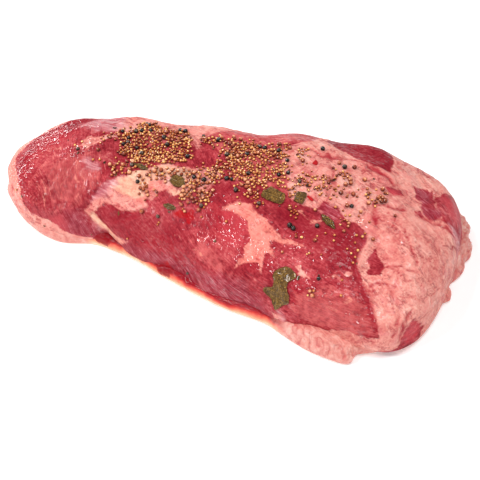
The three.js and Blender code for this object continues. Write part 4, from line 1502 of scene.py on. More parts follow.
@dataclass
class BayLeaf:
    """A torn piece of bay leaf: a thin closed shell that follows the meat under it."""

    node: str
    at: tuple[float, float]
    heading: float
    rows: tuple[tuple[float, float, float], ...]
    finish: "LeafFinish"
    dark: float = 0.3
    curl: float = 0.5
    thickness: float = 0.4
    gap: float = 0.1
    steps: tuple[int, int] = (56, 30)

    def place(self, form: SlabForm, along: Array, across: Array) -> tuple[Array, Array]:
        """Station and turn of points given along and across the leaf's heading.

        Args:
            form: The slab, for how many degrees a millimetre takes at the leaf.
            along: Places along the leaf.
            across: Places across it.

        Returns:
            A station and a turn for each point.
        """
        station, turn = self.at
        c, s = math.cos(math.radians(self.heading)), math.sin(math.radians(self.heading))
        pair = form.surface(np.array([station, station]), np.array([turn - 1, turn + 1]))
        degrees_a_millimetre = 2 / np.linalg.norm(pair[1] - pair[0])
        arc = along * s - across * c
        return station + along * c + across * s, turn + arc * degrees_a_millimetre

    def edge_outline(self) -> Outline:
        """The leaf's outline, near enough for keeping spices off it.

        Returns:
            Stations and turns of the corners.
        """
        c, s = math.cos(math.radians(self.heading)), math.sin(math.radians(self.heading))
        ring = [(a, r) for a, r, _ in self.rows] + [(a, l) for a, _, l in reversed(self.rows)]
        station, turn = self.at
        return tuple(
            (station + a * c + w * s, turn + (a * s - w * c) / PER_DEGREE) for a, w in ring
        )

    @staticmethod
    def draped(relief: Array) -> Array:
        """A grid of heights as a limp sheet lies over it: the highest near each point, smoothed."""
        wide = relief
        for axis in (0, 1):
            for shift in (-3, -2, -1, 1, 2, 3):
                wide = np.maximum(wide, np.roll(relief, shift, axis))
            relief = wide
        for _ in range(3):
            padded = np.pad(wide, 1, mode="edge")
            rows = (padded[:-2] + padded[1:-1] + padded[2:]) / 3
            wide = (rows[:, :-2] + rows[:, 1:-1] + rows[:, 2:]) / 3
        return wide

    def build(self, skin: Skin) -> bpy.types.Object:
        """Makes the leaf: two like grids a thickness apart, with a raised midrib, joined round.

        Args:
            skin: The meat's skin under the leaf.

        Returns:
            The dressed piece.
        """
        form = skin.form
        noise = LatticeNoise(int(self.at[0]) + 400)
        table = np.array(self.rows, float)
        steps_along, steps_across = self.steps
        along = np.linspace(table[0, 0], table[-1, 0], steps_along + 1)
        right, left = (np.interp(along, table[:, 0], table[:, k]) for k in (1, 2))
        rag = np.stack([along, along * 0, along * 0], axis=1)
        right = right + 0.5 * noise.at(rag, 1.3)
        left = left + 0.5 * noise.at(rag + 9, 1.3)
        share = np.linspace(0, 1, steps_across + 1)
        a = np.repeat(along[:, None], steps_across + 1, axis=1)
        w = right[:, None] * (1 - share) + left[:, None] * share
        x, turn = self.place(form, a, w)
        foot, up = form.surface(x, turn), form.outward(x, turn)
        relief, _ = skin.fine_relief(x, turn, skin.tissues(x, turn), foot)
        foot = foot + up * self.draped(relief)[..., None]
        marks = np.stack([a, w, a * 0], axis=-1)
        middle = (right + left)[:, None] / 2 * 0.4
        rib = 0.35 * np.exp(-(((w - middle) / 0.45) ** 2))
        edge = np.abs(2 * share - 1)[None] ** 3
        lift = self.gap + 0.45 * (1 + noise.at(marks, 4)) + self.curl * edge + 0.12 * noise.at(marks, 1.2)
        lower = foot + up * lift[..., None]
        upper = foot + up * (lift + self.thickness + rib)[..., None]
        rows, columns = a.shape
        count = rows * columns
        quads = grid_quads(rows, columns, False)
        j, i = np.arange(columns - 1), np.arange(rows - 1)
        ring = np.concatenate([
            j,
            i * columns + columns - 1,
            (rows - 1) * columns + j[::-1] + 1,
            (i[::-1] + 1) * columns,
        ])
        after = np.roll(ring, -1)
        wall = np.stack([ring, after, after + count, ring + count], axis=1)
        faces = np.vstack([quads, quads[:, ::-1] + count, wall[:, ::-1]])
        points = np.vstack([lower.reshape(-1, 3), upper.reshape(-1, 3)])
        piece = make_piece(self.node + "_detail", points, faces)
        flat = np.stack([a, w - middle], axis=-1).reshape(-1, 2)
        store_uv(piece, "vein", np.vstack([flat, flat]))
        store(piece, "dark", np.full(2 * count, self.dark))
        piece.data.materials.append(self.finish.material())
        return piece


# Finishes


@dataclass(frozen=True)
class Tint:
    """A colour as seen on a screen, each part from 0 to 255."""

    red: int
    green: int
    blue: int

    def linear(self) -> tuple[float, float, float, float]:
        """The colour as light, by the screen's own curve.

        Returns:
            Red, green, blue and full cover, each from 0 to 1.
        """
        parts = [
            v / 12.92 if v <= 0.04045 else ((v + 0.055) / 1.055) ** 2.4
            for v in (self.red / 255, self.green / 255, self.blue / 255)
        ]
        return (*parts, 1.0)


Stops = Sequence[tuple[float, Tint]]
Socket = bpy.types.NodeSocket


class NodeBench:
    """A material's nodes, with short ways to add them and join them."""

    def __init__(self, name: str) -> None:
        """Starts an empty material."""
        self.material = bpy.data.materials.new(name)
        self.material.use_nodes = True
        self.tree = self.material.node_tree
        self.tree.nodes.clear()

    def feed(self, socket: Socket, value: object) -> None:
        """Joins a socket to another, or sets its value.

        Args:
            socket: The input.
            value: An output socket, a tint or a plain value.
        """
        if isinstance(value, bpy.types.NodeSocket):
            self.tree.links.new(value, socket)
        elif isinstance(value, Tint):
            socket.default_value = value.linear()
        else:
            socket.default_value = value

    def add(self, kind: str, inputs: dict[str | int, object], **settings: object) -> bpy.types.Node:
        """Adds a node.

        Args:
            kind: The node's type.
            inputs: What its inputs get, by name or number.
            **settings: What is set on the node itself.

        Returns:
            The new node.
        """
        node = self.tree.nodes.new(kind)
        for key, value in settings.items():
            setattr(node, key, value)
        for key, value in inputs.items():
            self.feed(node.inputs[key], value)
        return node

    def attribute(self, name: str) -> Socket:
        """A number kept on the mesh."""
        return self.add("ShaderNodeAttribute", {}, attribute_name=name).outputs["Fac"]

    def places(self) -> Socket:
        """The point on the piece, in its own frame."""
        return self.add("ShaderNodeTexCoord", {}).outputs["Object"]

    def laid_flat(self, name: str, scale: tuple[float, float]) -> Socket:
        """A UV map, stretched by a scale along each of its ways."""
        found = self.add("ShaderNodeUVMap", {}, uv_map=name).outputs["UV"]
        scaled = {"Vector": found, "Scale": (scale[0], scale[1], 1.0)}
        return self.add("ShaderNodeMapping", scaled).outputs["Vector"]

    def combed(self, angle: float, lengths: tuple[float, float, float]) -> Socket:
        """The point on the piece, turned about the upright axis and divided by lengths in metres."""
        inputs = {"Vector": self.places(), "Rotation": (0.0, 0.0, angle), "Scale": lengths}
        return self.add("ShaderNodeMapping", inputs, vector_type="TEXTURE").outputs["Vector"]

    def threads(self, value: Socket, width: float) -> Socket:
        """1 on the thin lines where random values pass their middle, falling to 0 beside them."""
        off = self.maths("ABSOLUTE", self.maths("SUBTRACT", value, 0.5))
        return self.maths("SUBTRACT", 1.0, self.between(off, 0.0, width))

    def noise(self, vector: Socket, scale: float, detail: float = 2.0, twist: float = 0.0) -> Socket:
        """Soft random values, mostly from 0.3 to 0.7."""
        inputs = {"Vector": vector, "Scale": scale, "Detail": detail, "Distortion": twist}
        return self.add("ShaderNodeTexNoise", inputs).outputs["Fac"]

    def maths(self, operation: str, a: object, b: object = 0.0) -> Socket:
        """One sum."""
        return self.add("ShaderNodeMath", {0: a, 1: b}, operation=operation).outputs[0]

    def plus(self, a: object, b: object, share: float = 1.0) -> Socket:
        """a and a share of b together."""
        return self.maths("ADD", a, self.maths("MULTIPLY", b, share))

    def mingle(self, *parts: tuple[Socket, float], middle: float = 0.5) -> Socket:
        """Random values together.

        Args:
            *parts: Values with their weights.
            middle: What comes out where all the values lie at 0.5.

        Returns:
            The middle plus each value's distance from 0.5 by its weight.
        """
        total: object = middle
        for value, weight in parts:
            total = self.plus(total, self.maths("SUBTRACT", value, 0.5), weight)
        return total

    def times(self, a: object, b: object) -> Socket:
        """a times b."""
        return self.maths("MULTIPLY", a, b)

    def between(self, value: object, low: float, high: float) -> Socket:
        """0 at low, 1 at high, eased between them."""
        inputs = {"Value": value, "From Min": low, "From Max": high}
        return self.add("ShaderNodeMapRange", inputs, interpolation_type="SMOOTHSTEP").outputs[0]

    def ramp(self, value: object, stops: Stops) -> Socket:
        """A colour read off a row of colours.

        Args:
            value: Where in the row.
            stops: The places and tints in order.

        Returns:
            The colour.
        """
        node = self.add("ShaderNodeValToRGB", {"Fac": value})
        elements = node.color_ramp.elements
        while len(elements) < len(stops):
            elements.new(1.0)
        for element, (place, tint) in zip(elements, stops):
            element.position = place
            element.color = tint.linear()
        return node.outputs["Color"]

    def mix_number(self, share: object, a: object, b: object) -> Socket:
        """The number a turning into b by a share."""
        return self.add("ShaderNodeMix", {0: share, 2: a, 3: b}, data_type="FLOAT").outputs[0]

    def mix(self, share: object, a: object, b: object) -> Socket:
        """a turning into b by a share."""
        node = self.add("ShaderNodeMix", {0: share, 6: a, 7: b}, data_type="RGBA")
        return node.outputs[2]

    def bump(self, height: Socket, depth: float, under: Socket | None = None) -> Socket:
        """The surface tilted as though it stood depth metres high where height is 1."""
        inputs: dict[str | int, object] = {"Height": height, "Distance": depth, "Strength": 1.0}
        if under is not None:
            inputs["Normal"] = under
        return self.add("ShaderNodeBump", inputs).outputs["Normal"]

    def surface(self, inputs: dict[str | int, object]) -> bpy.types.Material:
        """Ends the material with a shader.

        Args:
            inputs: What the shader's inputs get.

        Returns:
            The material.
        """
        shader = self.add("ShaderNodeBsdfPrincipled", inputs)
        output = self.add("ShaderNodeOutputMaterial", {})
        self.tree.links.new(shader.outputs["BSDF"], output.inputs["Surface"])
        return self.material


@dataclass(frozen=True)
class MeatFinish:
    """Raw brined beef: wet lean with fibres, salmon and cream fat, silver skin and membrane."""

    lean: tuple[tuple[float, Tint], ...] = (
        (0.12, Tint(108, 18, 34)),
        (0.34, Tint(144, 37, 47)),
        (0.50, Tint(168, 54, 62)),
        (0.66, Tint(192, 78, 84)),
        (0.86, Tint(224, 126, 124)),
    )
    fat: tuple[tuple[float, Tint], ...] = (
        (0.18, Tint(186, 78, 80)),
        (0.36, Tint(212, 118, 111)),
        (0.52, Tint(227, 145, 134)),
        (0.68, Tint(235, 166, 153)),
        (0.86, Tint(247, 200, 184)),
    )
    blush: Tint = Tint(214, 106, 112)
    # Painted shade in the fat's drawn creases.
    shaded_crease: Tint = Tint(176, 64, 76)
    pale: Tint = Tint(250, 196, 178)
    cream: tuple[tuple[float, Tint], ...] = (
        (0.25, Tint(232, 148, 126)),
        (0.5, Tint(242, 184, 156)),
        (0.75, Tint(248, 206, 178)),
    )
    # The palest stop gives the membrane's streaks, partly painted sheen.
    membrane: tuple[tuple[float, Tint], ...] = (
        (0.15, Tint(118, 22, 38)),
        (0.42, Tint(152, 48, 62)),
        (0.62, Tint(176, 78, 90)),
        (0.88, Tint(204, 134, 140)),
    )
    silver: tuple[tuple[float, Tint], ...] = (
        (0.35, Tint(184, 92, 104)),
        (0.5, Tint(206, 132, 138)),
        (0.68, Tint(226, 176, 176)),
    )
    rosy: Tint = Tint(244, 124, 108)
    soaked: Tint = Tint(168, 14, 34)
    haze: Tint = Tint(212, 104, 102)
    marble: Tint = Tint(232, 136, 124)
    seam: Tint = Tint(168, 40, 52)
    vein: Tint = Tint(238, 154, 136)
    blood: Tint = Tint(176, 8, 16)
    deep: Tint = Tint(140, 22, 38)
    bright: Tint = Tint(216, 82, 90)

    def material(self) -> bpy.types.Material:
        """Lays lean, membrane, fat and lines over each other, each by its depth on the skin.

        Returns:
            The material.
        """
        b = NodeBench("raw_beef")
        here = b.places()
        fibre = b.noise(b.laid_flat("grain", (1 / 7, 1 / 1.2)), 1.0, 3, 0.8)
        strand = b.noise(b.laid_flat("grain", (1 / 11, 1 / 3)), 1.0, 4, 1.5)
        hair = b.noise(b.laid_flat("grain", (1 / 30, 1 / 0.55)), 1.0, 2, 0.2)
        broad = b.noise(here, 34, 3)
        patchy = b.noise(here, 130, 4, 0.6)
        fine = b.noise(here, 420, 3)

        tone = b.mingle((broad, 0.9), (patchy, 0.5), (fibre, 0.5), (strand, 0.5), (fine, 0.6))
        colour = b.ramp(tone, self.lean)
        edge = b.mingle((patchy, 9.0), (fibre, 5.0), middle=0.0)
        colour = self.blend(b, colour, "deep", edge, (-4, 5), 0.55, self.deep)
        colour = self.blend(b, colour, "bright", edge, (-5, 4), 0.5, self.bright)
        colour = self.blend(b, colour, "wet", edge, (-4, 5), 0.45, self.soaked)

        swirl = b.noise(b.laid_flat("grain", (1 / 8, 1 / 2.2)), 1.0, 4, 1.6)
        marbled = b.between(b.attribute("marbled"), -0.6, 0.8)
        least = b.plus(0.72, marbled, -0.13)
        fleck = b.maths("SUBTRACT", b.mingle((swirl, 1.0), (patchy, 0.35), (fine, 0.2)), least)
        marble = b.between(fleck, -0.06, 0.11)
        colour = b.mix(b.times(marble, 0.45), colour, self.marble)

        # A pale film over the lean; on the left lobe's folds it partly stands for painted highlight.
        film = b.plus(b.attribute("haze"), b.mingle((patchy, 5.0), (strand, 4.0), middle=0.0))
        film = b.between(film, -1, 1)
        gaps = b.between(b.mingle((swirl, 1.0), (patchy, 1.0)), 0.36, 0.72)
        colour = b.mix(b.times(film, b.plus(0.3, gaps, 0.45)), colour, self.haze)

        # Membrane: dark red with pale streaks, the streaks partly the membrane's own and partly painted
        # sheen.
        skin = b.ramp(b.mingle((hair, 1.5), (fibre, 0.6), (strand, 0.7), (patchy, 0.9)), self.membrane)
        colour = self.blend(b, colour, "membrane", edge, (-4, 4), 0.8, skin)

        ragged = b.mingle((patchy, 5.0), (fibre, 4.0), (fine, 2.0), middle=0.0)
        vein = b.between(b.plus(b.attribute("vein"), ragged, 0.3), -0.6, 0.6)
        colour = b.mix(b.times(b.times(vein, gaps), 0.7), colour, self.vein)

        lump = b.noise(here, 110, 5, 0.6)
        grit = b.noise(here, 560, 3)
        # Painted shade: the fat's tone drops in the slab's creases.
        fold = b.attribute("shaded_crease")
        tone = b.plus(b.mingle((broad, 0.6), (lump, 0.7), (grit, 0.45), middle=0.54), fold, -0.3)
        fat = b.ramp(tone, self.fat)
        flushed = b.between(b.mingle((b.noise(here, 62, 3, 0.8), 1.0), (lump, 0.5)), 0.54, 0.72)
        fat = b.mix(b.times(flushed, 0.3), fat, self.blush)
        drawn = b.noise(b.combed(-0.45, (0.013, 0.0034, 0.006)), 1.0, 3, 1.0)
        often = b.between(b.noise(here, 85, 2), 0.44, 0.6)
        creases = b.times(b.threads(drawn, 0.035), often)
        fat = b.mix(b.times(b.between(drawn, 0.56, 0.72), 0.45), fat, self.pale)
        # Painted shade: darker lines in the drawn creases of the fat.
        fat = b.mix(b.times(creases, 0.6), fat, self.shaded_crease)
        cream = b.ramp(b.mingle((lump, 1.0), (grit, 0.4)), self.cream)
        fat = self.blend(b, fat, "rosy", ragged, (-3, 3), 0.4, self.rosy)
        fat = self.blend(b, fat, "cream", ragged, (-3, 3), 0.95, cream)
        inside = b.between(b.plus(b.attribute("fat"), ragged, 0.7), -0.9, 1.1)
        colour = b.mix(inside, colour, fat)
        # Silver skin: pale in its own right, and on the left lobe and the near-flank ridge partly painted
        # sheen.
        sheet = b.noise(b.combed(-0.12, (0.026, 0.0028, 0.004)), 1.0, 3, 0.8)
        film = b.between(b.plus(b.attribute("silver"), edge), -3, 3)
        colour = b.mix(b.times(film, b.plus(0.3, sheet, 0.8)), colour, b.ramp(sheet, self.silver))
        broken = b.between(b.noise(here, 160, 2), 0.36, 0.56)
        seam = b.between(b.plus(b.attribute("seam"), ragged, 0.22), -0.9, 0.5)
        colour = b.mix(b.times(b.times(seam, broken), 0.8), colour, self.seam)
        # Painted shade: the seam colour laid into the slab's creases.
        colour = b.mix(b.times(fold, 0.5), colour, self.seam)
        colour = self.blend(b, colour, "blood", ragged, (-1, 1), 0.85, self.blood)

        grainy = b.mingle((fibre, 0.7), (fine, 0.6), (hair, 0.3))
        soft = b.plus(b.mingle((lump, 1.0), (grit, 0.25), (drawn, 0.8)), creases, -0.35)
        height = b.mix_number(inside, grainy, soft)
        normal = b.bump(height, 0.0010)
        wrinkle = b.noise(b.laid_flat("grain", (1 / 9, 1 / 3)), 1.0, 0, 0.6)
        wet = b.between(b.attribute("wet"), -1.0, 0.8)
        ripple = b.mingle((b.noise(here, 220, 0, 0.4), 1.0), (wrinkle, 0.35))
        shine = b.bump(b.times(ripple, b.plus(0.7, wet, 0.5)), 0.0013)
        glossy = b.between(b.noise(b.laid_flat("grain", (1 / 6, 1 / 2.4)), 1.0, 1, 0.6), 0.5, 0.57)
        gloss = b.plus(0.12, b.times(glossy, b.plus(0.35, wet, 0.65)), 0.85)
        return b.surface({
            "Base Color": colour,
            "Roughness": b.plus(0.42, inside, 0.1),
            "Specular IOR Level": 0.0,
            "Subsurface Weight": 0.12,
            "Subsurface Radius": (1.0, 0.35, 0.25),
            "Subsurface Scale": 0.0022,
            "Coat Weight": gloss,
            "Coat Roughness": 0.04,
            "Coat IOR": 1.5,
            "Normal": normal,
            "Coat Normal": shine,
        })

    @staticmethod
    def blend(
        b: NodeBench,
        under: Socket,
        name: str,
        edge: Socket,
        rise: tuple[float, float],
        most: float,
        over: object,
    ) -> Socket:
        """Lays a colour over another where the skin is deep enough in a tissue."""
        share = b.between(b.plus(b.attribute(name), edge), *rise)
        return b.mix(b.times(share, most), under, over)


@dataclass(frozen=True)
class CapFinish:
    """The fat cap: salmon fat, and along the near flank a lip that runs from red to cream, its red top
    partly painted shade where the cap meets the slab.
    """

    fat: tuple[tuple[float, Tint], ...] = (
        (0.28, Tint(198, 106, 99)),
        (0.42, Tint(216, 136, 125)),
        (0.56, Tint(226, 161, 149)),
        (0.72, Tint(240, 192, 178)),
    )
    # From cream at the foot to dark red at the top, where the cap meets the slab: partly the red line
    # there, partly painted shade.
    lip: tuple[tuple[float, Tint], ...] = (
        (0.08, Tint(255, 220, 190)),
        (0.28, Tint(252, 182, 144)),
        (0.46, Tint(240, 132, 102)),
        (0.62, Tint(206, 58, 54)),
        (0.78, Tint(146, 16, 30)),
    )
    underside: Tint = Tint(250, 214, 190)
    # Painted shade in the cap's creases.
    fold: Tint = Tint(196, 76, 76)
    clot: Tint = Tint(140, 6, 20)

    def material(self) -> bpy.types.Material:
        """Salmon fat, turned to the lip's colours by height on the near flank, darkest at the top partly as
        painted shade.

        Returns:
            The material.
        """
        b = NodeBench("fat_cap")
        here = b.places()
        lump = b.noise(here, 120, 5, 0.8)
        patchy = b.noise(here, 60, 3)
        fat = b.ramp(b.plus(b.times(lump, 0.7), b.noise(here, 500, 3), 0.3), self.fat)
        height = b.add("ShaderNodeSeparateXYZ", {0: here}).outputs["Z"]
        inner = b.between(b.attribute("from_edge"), 1.0, 7.0)
        climb = b.plus(b.times(height, 1 / 0.0145), inner, 0.34)
        climb = b.plus(climb, b.maths("SUBTRACT", patchy, 0.5), 0.7)
        # Painted shade in part: the lip darkens as it climbs towards the slab.
        lip = b.ramp(climb, self.lip)
        # Painted shade: the cap darkens in its creases.
        fat = b.mix(b.times(b.attribute("shaded_crease"), 0.75), fat, self.fold)
        colour = b.mix(b.attribute("lip"), fat, lip)
        dark = b.between(b.plus(b.attribute("clot"), b.maths("SUBTRACT", lump, 0.5), 1.6), 0.3, 0.6)
        colour = b.mix(b.times(dark, 0.9), colour, self.clot)
        below = b.between(height, 0.0012, 0.0002)
        colour = b.mix(below, colour, b.mix(patchy, self.underside, fat))
        normal = b.bump(b.plus(lump, b.noise(here, 600, 3), 0.4), 0.0008)
        wet = b.bump(b.noise(here, 300, 3, 1.2), 0.0009, normal)
        return b.surface({
            "Base Color": colour,
            "Roughness": 0.44,
            "Specular IOR Level": 0.0,
            "Subsurface Weight": 0.2,
            "Subsurface Radius": (1.0, 0.5, 0.35),
            "Subsurface Scale": 0.003,
            "Coat Weight": 0.6,
            "Coat Roughness": 0.06,
            "Normal": normal,
            "Coat Normal": wet,
        })


@dataclass(frozen=True)
class SeedFinish:
    """A soaked seed or flake, each a little different in tone; a seed's tone also holds painted light,
    paler on its top.
    """

    name: str
    tones: tuple[tuple[float, Tint], ...]
    roughness: float
    grain: float
    depth: float

    def material(self) -> bpy.types.Material:
        """A tone for each seed or flake from its own number, and on a seed painted light from its height as
        well, mottled, under a thin wet coat.

        Returns:
            The material.
        """
        b = NodeBench(self.name)
        here = b.places()
        mottle = b.noise(here, self.grain, 3)
        tone = b.plus(b.attribute("tone"), b.maths("SUBTRACT", mottle, 0.5), 0.9)
        return b.surface({
            "Base Color": b.ramp(tone, self.tones),
            "Roughness": self.roughness,
            "Specular IOR Level": 0.1,
            "Coat Weight": 0.8,
            "Coat Roughness": 0.08,
            "Normal": b.bump(mottle, self.depth),
        })


@dataclass(frozen=True)
class LeafFinish:
    """Soaked bay leaf: mottled olive and brown with a paler rib and side veins."""

    olive: tuple[tuple[float, Tint], ...] = (
        (0.3, Tint(48, 28, 10)),
        (0.44, Tint(84, 56, 20)),
        (0.56, Tint(116, 82, 32)),
        (0.72, Tint(154, 116, 56)),
    )
    rib: Tint = Tint(158, 122, 60)
    dark: Tint = Tint(34, 24, 10)
    speck: Tint = Tint(176, 132, 62)

    def material(self) -> bpy.types.Material:
        """Mottled leaf; the rib lies along the middle and the side veins slant off it.

        Returns:
            The material.
        """
        b = NodeBench("bay_leaf")
        here = b.places()
        flat = b.laid_flat("vein", (1.0, 1.0))
        parts = b.add("ShaderNodeSeparateXYZ", {0: flat})
        along, across = parts.outputs["X"], parts.outputs["Y"]
        off = b.maths("ABSOLUTE", across)
        mottle = b.noise(here, 900, 4)
        blotch = b.noise(here, 240, 3)
        colour = b.ramp(b.plus(b.times(mottle, 0.55), blotch, 0.45), self.olive)
        slant = b.maths("FRACT", b.times(b.maths("SUBTRACT", along, off), 0.32))
        side = b.threads(slant, 0.09)
        colour = b.mix(b.times(side, 0.35), colour, self.rib)
        rib = b.maths("SUBTRACT", 1.0, b.between(off, 0.25, 0.5))
        colour = b.mix(b.times(rib, 0.7), colour, self.rib)
        colour = b.mix(b.attribute("dark"), colour, self.dark)
        colour = b.mix(b.times(b.between(mottle, 0.55, 0.66), 0.6), colour, self.speck)
        raised = b.plus(b.plus(mottle, side, 0.3), rib, 0.5)
        return b.surface({
            "Base Color": colour,
            "Roughness": 0.5,
            "Specular IOR Level": 0.2,
            "Coat Weight": 0.3,
            "Coat Roughness": 0.12,
            "Normal": b.bump(raised, 0.0008),
        })


# Camera, light and floor


@dataclass
class Studio:
    """A white table under soft light, and the camera at the photo's angle."""

    azimuth: float = 20.0
    elevation: float = 43.0
    distance: float = 1150.0
    target: tuple[float, float, float] = (28.0, -30.0, 35.0)
    lens: float = 97.5
    sensor: float = 36.0
    floor_size: float = 8.0

    def camera(self) -> None:
        """Sets the camera on the line of sight through the target."""
        a, e = math.radians(self.azimuth), math.radians(self.elevation)
        back = Vector((math.sin(a) * math.cos(e), -math.cos(a) * math.cos(e), math.sin(e)))
        data = bpy.data.cameras.new("camera")
        data.lens = self.lens
        data.sensor_width = self.sensor
        data.clip_end = 50
        camera = bpy.data.objects.new("camera", data)
        camera.location = Vector((np.array(self.target) - MIDDLE) * MM) + back * self.distance * MM
        camera.rotation_mode = "QUATERNION"
        camera.rotation_quaternion = (-back).to_track_quat("-Z", "Y")
        bpy.context.scene.collection.objects.link(camera)
        bpy.context.scene.camera = camera

    def lamp(self, name: str, place: tuple[float, float, float], size: float, power: float) -> None:
        """Adds a square soft lamp that faces the origin."""
        data = bpy.data.lights.new(name, "AREA")
        data.size = size
        data.energy = power
        lamp = bpy.data.objects.new(name, data)
        lamp.location = place
        lamp.rotation_mode = "QUATERNION"
        lamp.rotation_quaternion = (-Vector(place)).to_track_quat("-Z", "Y")
        bpy.context.scene.collection.objects.link(lamp)

    def light(self) -> None:
        """A white surround, a wide lamp overhead, a key at the front left and small ones for glints."""
        world = bpy.data.worlds.new("surround")
        world.use_nodes = True
        background = world.node_tree.nodes["Background"]
        background.inputs["Color"].default_value = (1.0, 1.0, 1.0, 1.0)
        background.inputs["Strength"].default_value = 0.2
        bpy.context.scene.world = world
        self.lamp("overhead", (0.5, -0.3, 1.65), 0.7, 13.5)
        self.lamp("key", (-0.75, -0.9, 1.25), 0.28, 11.5)
        self.lamp("back", (0.6, 0.85, 1.3), 0.14, 3)
        self.lamp("left_far", (-1.1, 1.0, 0.24), 0.2, 3)
        self.lamp("left_middle", (-1.3, 0.69, 0.28), 0.22, 3.5)
        self.lamp("left_near", (-1.45, 0.25, 0.24), 0.26, 4.5)
        self.lamp("right", (1.2, -0.7, 0.75), 0.4, 2.5)
        self.lamp("left", (-1.2, 0.15, 1.3), 0.15, 3.5)
        self.lamp("above", (-0.6, -0.1, 1.4), 0.15, 3.5)
        self.lamp("front", (0.1, -1.5, 0.55), 0.15, 3)
        bpy.context.scene.view_settings.view_transform = "Standard"

    def floor(self) -> None:
        """A plain pale floor under the meat."""
        half = self.floor_size / 2 / MM
        corners = np.array([(-half, -half, 0), (half, -half, 0), (half, half, 0), (-half, half, 0)])
        floor = make_piece("floor", corners + MIDDLE, np.array([[0, 1, 2, 3]]))
        b = NodeBench("table_top")
        glow = {"Base Color": (0.93, 0.93, 0.93, 1.0), "Roughness": 0.9}
        glow |= {"Emission Color": (1.0, 1.0, 1.0, 1.0), "Emission Strength": 0.2}
        floor.data.materials.append(b.surface(glow))
        floor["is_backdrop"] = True


def bay_leaves(finish: LeafFinish) -> list[BayLeaf]:
    """The torn leaf pieces, one for each leaf node of the frame."""
    return [
        BayLeaf("bay_leaf_large", (82.5, 20.5), -90, (
            (-19, -6, -2), (-16.4, -12, 2), (-13.4, -12.6, 6), (-10.4, -9, 7), (-7.4, -7.4, 6.4),
            (-3.4, -7, 5), (0.6, -9.4, 6), (2.2, -10.4, 11), (4.4, -11.4, 14), (7.4, -12, 13.6),
            (9.4, -10, 9), (11.6, -7, 5.4), (15.4, -4, 2.6), (19, -0.8, 0.6),
        ), finish, 0.1, 0.4),
        BayLeaf("bay_leaf_olive", (51.5, 72.5), 0, (
            (-10.5, -1, 3), (-8.5, -4, 6.5), (-5.5, -8, 7), (0, -7, 7.5), (6, -5.5, 7.5),
            (9, -4.5, 6.5), (10.5, 0, 4),
        ), finish, 0.0),
        BayLeaf("bay_leaf_dark", (74.5, 75), 0, (
            (-4.8, -4, 4.5), (-3.6, -6, 5.5), (3, -6, 6), (4.6, -4, 4),
        ), finish, 0.35),
        BayLeaf("bay_leaf_curled", (-36, 64.5), -10, (
            (-7.5, -3, 3), (-4, -6, 5), (0, -6.5, 6), (4, -5.5, 5), (7, -2, 1),
        ), finish, 0.1),
        BayLeaf("bay_leaf_small", (-35, 46.5), 8, (
            (-6, -1, 0.4), (-2, -2.6, 2.2), (3, -2.4, 2.6), (6, -0.6, 1),
        ), finish, 0.4),
        BayLeaf("bay_leaf_sliver", (105.5, 67), -35, (
            (-9, -1, 1), (-4, -3.4, 3), (2, -3.6, 3.2), (9, -0.8, 0.8),
        ), finish, 0.35),
        BayLeaf("bay_leaf_tucked", (-76, 67.5), -12, (
            (-8, -0.8, 0.8), (-2, -2.8, 2.4), (3, -2.6, 2.4), (8, -0.6, 0.6),
        ), finish, 0.45),
    ]


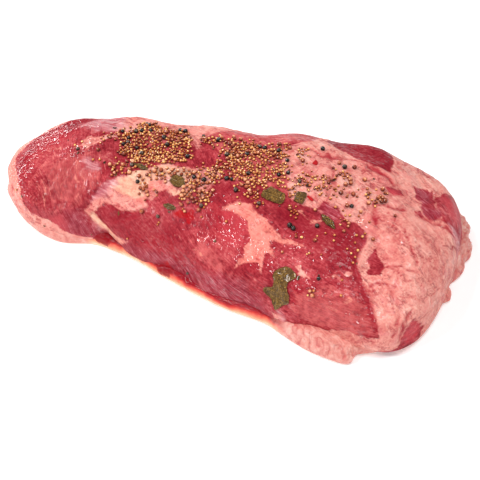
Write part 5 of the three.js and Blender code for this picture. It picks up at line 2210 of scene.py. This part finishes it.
MUSTARD_FINISH = SeedFinish("mustard", (
    (0.0, Tint(72, 20, 14)),
    (0.3, Tint(140, 56, 28)),
    (0.6, Tint(196, 102, 50)),
    (1.0, Tint(252, 196, 122)),
), 0.3, 900, 0.0001)
CORIANDER_FINISH = SeedFinish("coriander", (
    (0.0, Tint(76, 24, 14)),
    (0.4, Tint(136, 58, 36)),
    (0.75, Tint(182, 96, 62)),
    (1.0, Tint(232, 162, 120)),
), 0.36, 500, 0.0003)
PEPPER_FINISH = SeedFinish("black_pepper", (
    (0.0, Tint(12, 7, 5)),
    (0.6, Tint(34, 23, 17)),
    (1.0, Tint(104, 80, 66)),
), 0.5, 900, 0.0005)
CHILLI_FINISH = SeedFinish("chilli", (
    (0.0, Tint(150, 10, 20)),
    (1.0, Tint(206, 34, 40)),
), 0.3, 500, 0.0002)
CRUMB_FINISH = SeedFinish("leaf_crumb", (
    (0.0, Tint(46, 26, 12)),
    (0.6, Tint(84, 52, 24)),
    (1.0, Tint(118, 82, 40)),
), 0.45, 600, 0.0002)

CHILLI_PLACES: Outline = ((73, 95), (83, 76), (-65, 98), (-56, 104))
CRUMB_PLACES: Outline = (
    (76, 82), (59, 103), (83, 82), (127, 97), (95, 88), (113, 38), (97, 32), (-163, 88), (-143, 75),
    (-139, 80), (-128, 82), (-82, 27), (-186, 12), (-181, 6), (-156, -4), (-110, -2), (-8, 1),
    (-125, 101), (-96, 57), (-113, 67), (16, 36), (128, 47), (140, 53), (60, 68),
    (-34, 43),
)


def main() -> None:
    """Builds the meat, its cap, the spices and the leaf, and dresses the studio."""
    logging.basicConfig(level=logging.INFO, format="%(name)s: %(message)s")
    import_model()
    cad_low, cad_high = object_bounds()

    studio = Studio()
    studio.camera()
    studio.light()
    studio.floor()

    form = SlabForm()
    skin = Skin(form)
    pieces = [(MeatSlab(form, skin, MeatFinish()).build(), ("corned_beef",), "meat")]
    pieces.append((FatCap(CapFinish()).build(), ("corned_beef",), "meat"))

    leaves = bay_leaves(LeafFinish())
    pieces += [(leaf.build(skin), (leaf.node,), "bay_leaf") for leaf in leaves]

    bed = SpiceBed(form, skin, leaves, cad_high[2] / MM, 29)
    bed.strew()
    finishes = {
        Spice.MUSTARD: MUSTARD_FINISH,
        Spice.CORIANDER: CORIANDER_FINISH,
        Spice.PEPPERCORN: PEPPER_FINISH,
    }
    pieces += [(SpicePiece(kind, bed, finish).build(), (), "") for kind, finish in finishes.items()]
    chilli = Flakes("chilli_flakes", bed, CHILLI_PLACES, (4.5, 7.5), CHILLI_FINISH, 17)
    crumbs = Flakes("leaf_crumbs", bed, CRUMB_PLACES, (1.6, 4.0), CRUMB_FINISH, 23)
    pieces += [(flakes.build(), (), "") for flakes in (chilli, crumbs)]

    for piece, nodes, slot in pieces:
        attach(piece, "root")
        if nodes:
            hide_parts(*nodes)
        log.info("%s: %d faces", piece.name, len(piece.data.polygons))


if __name__ == "__main__":
    main()
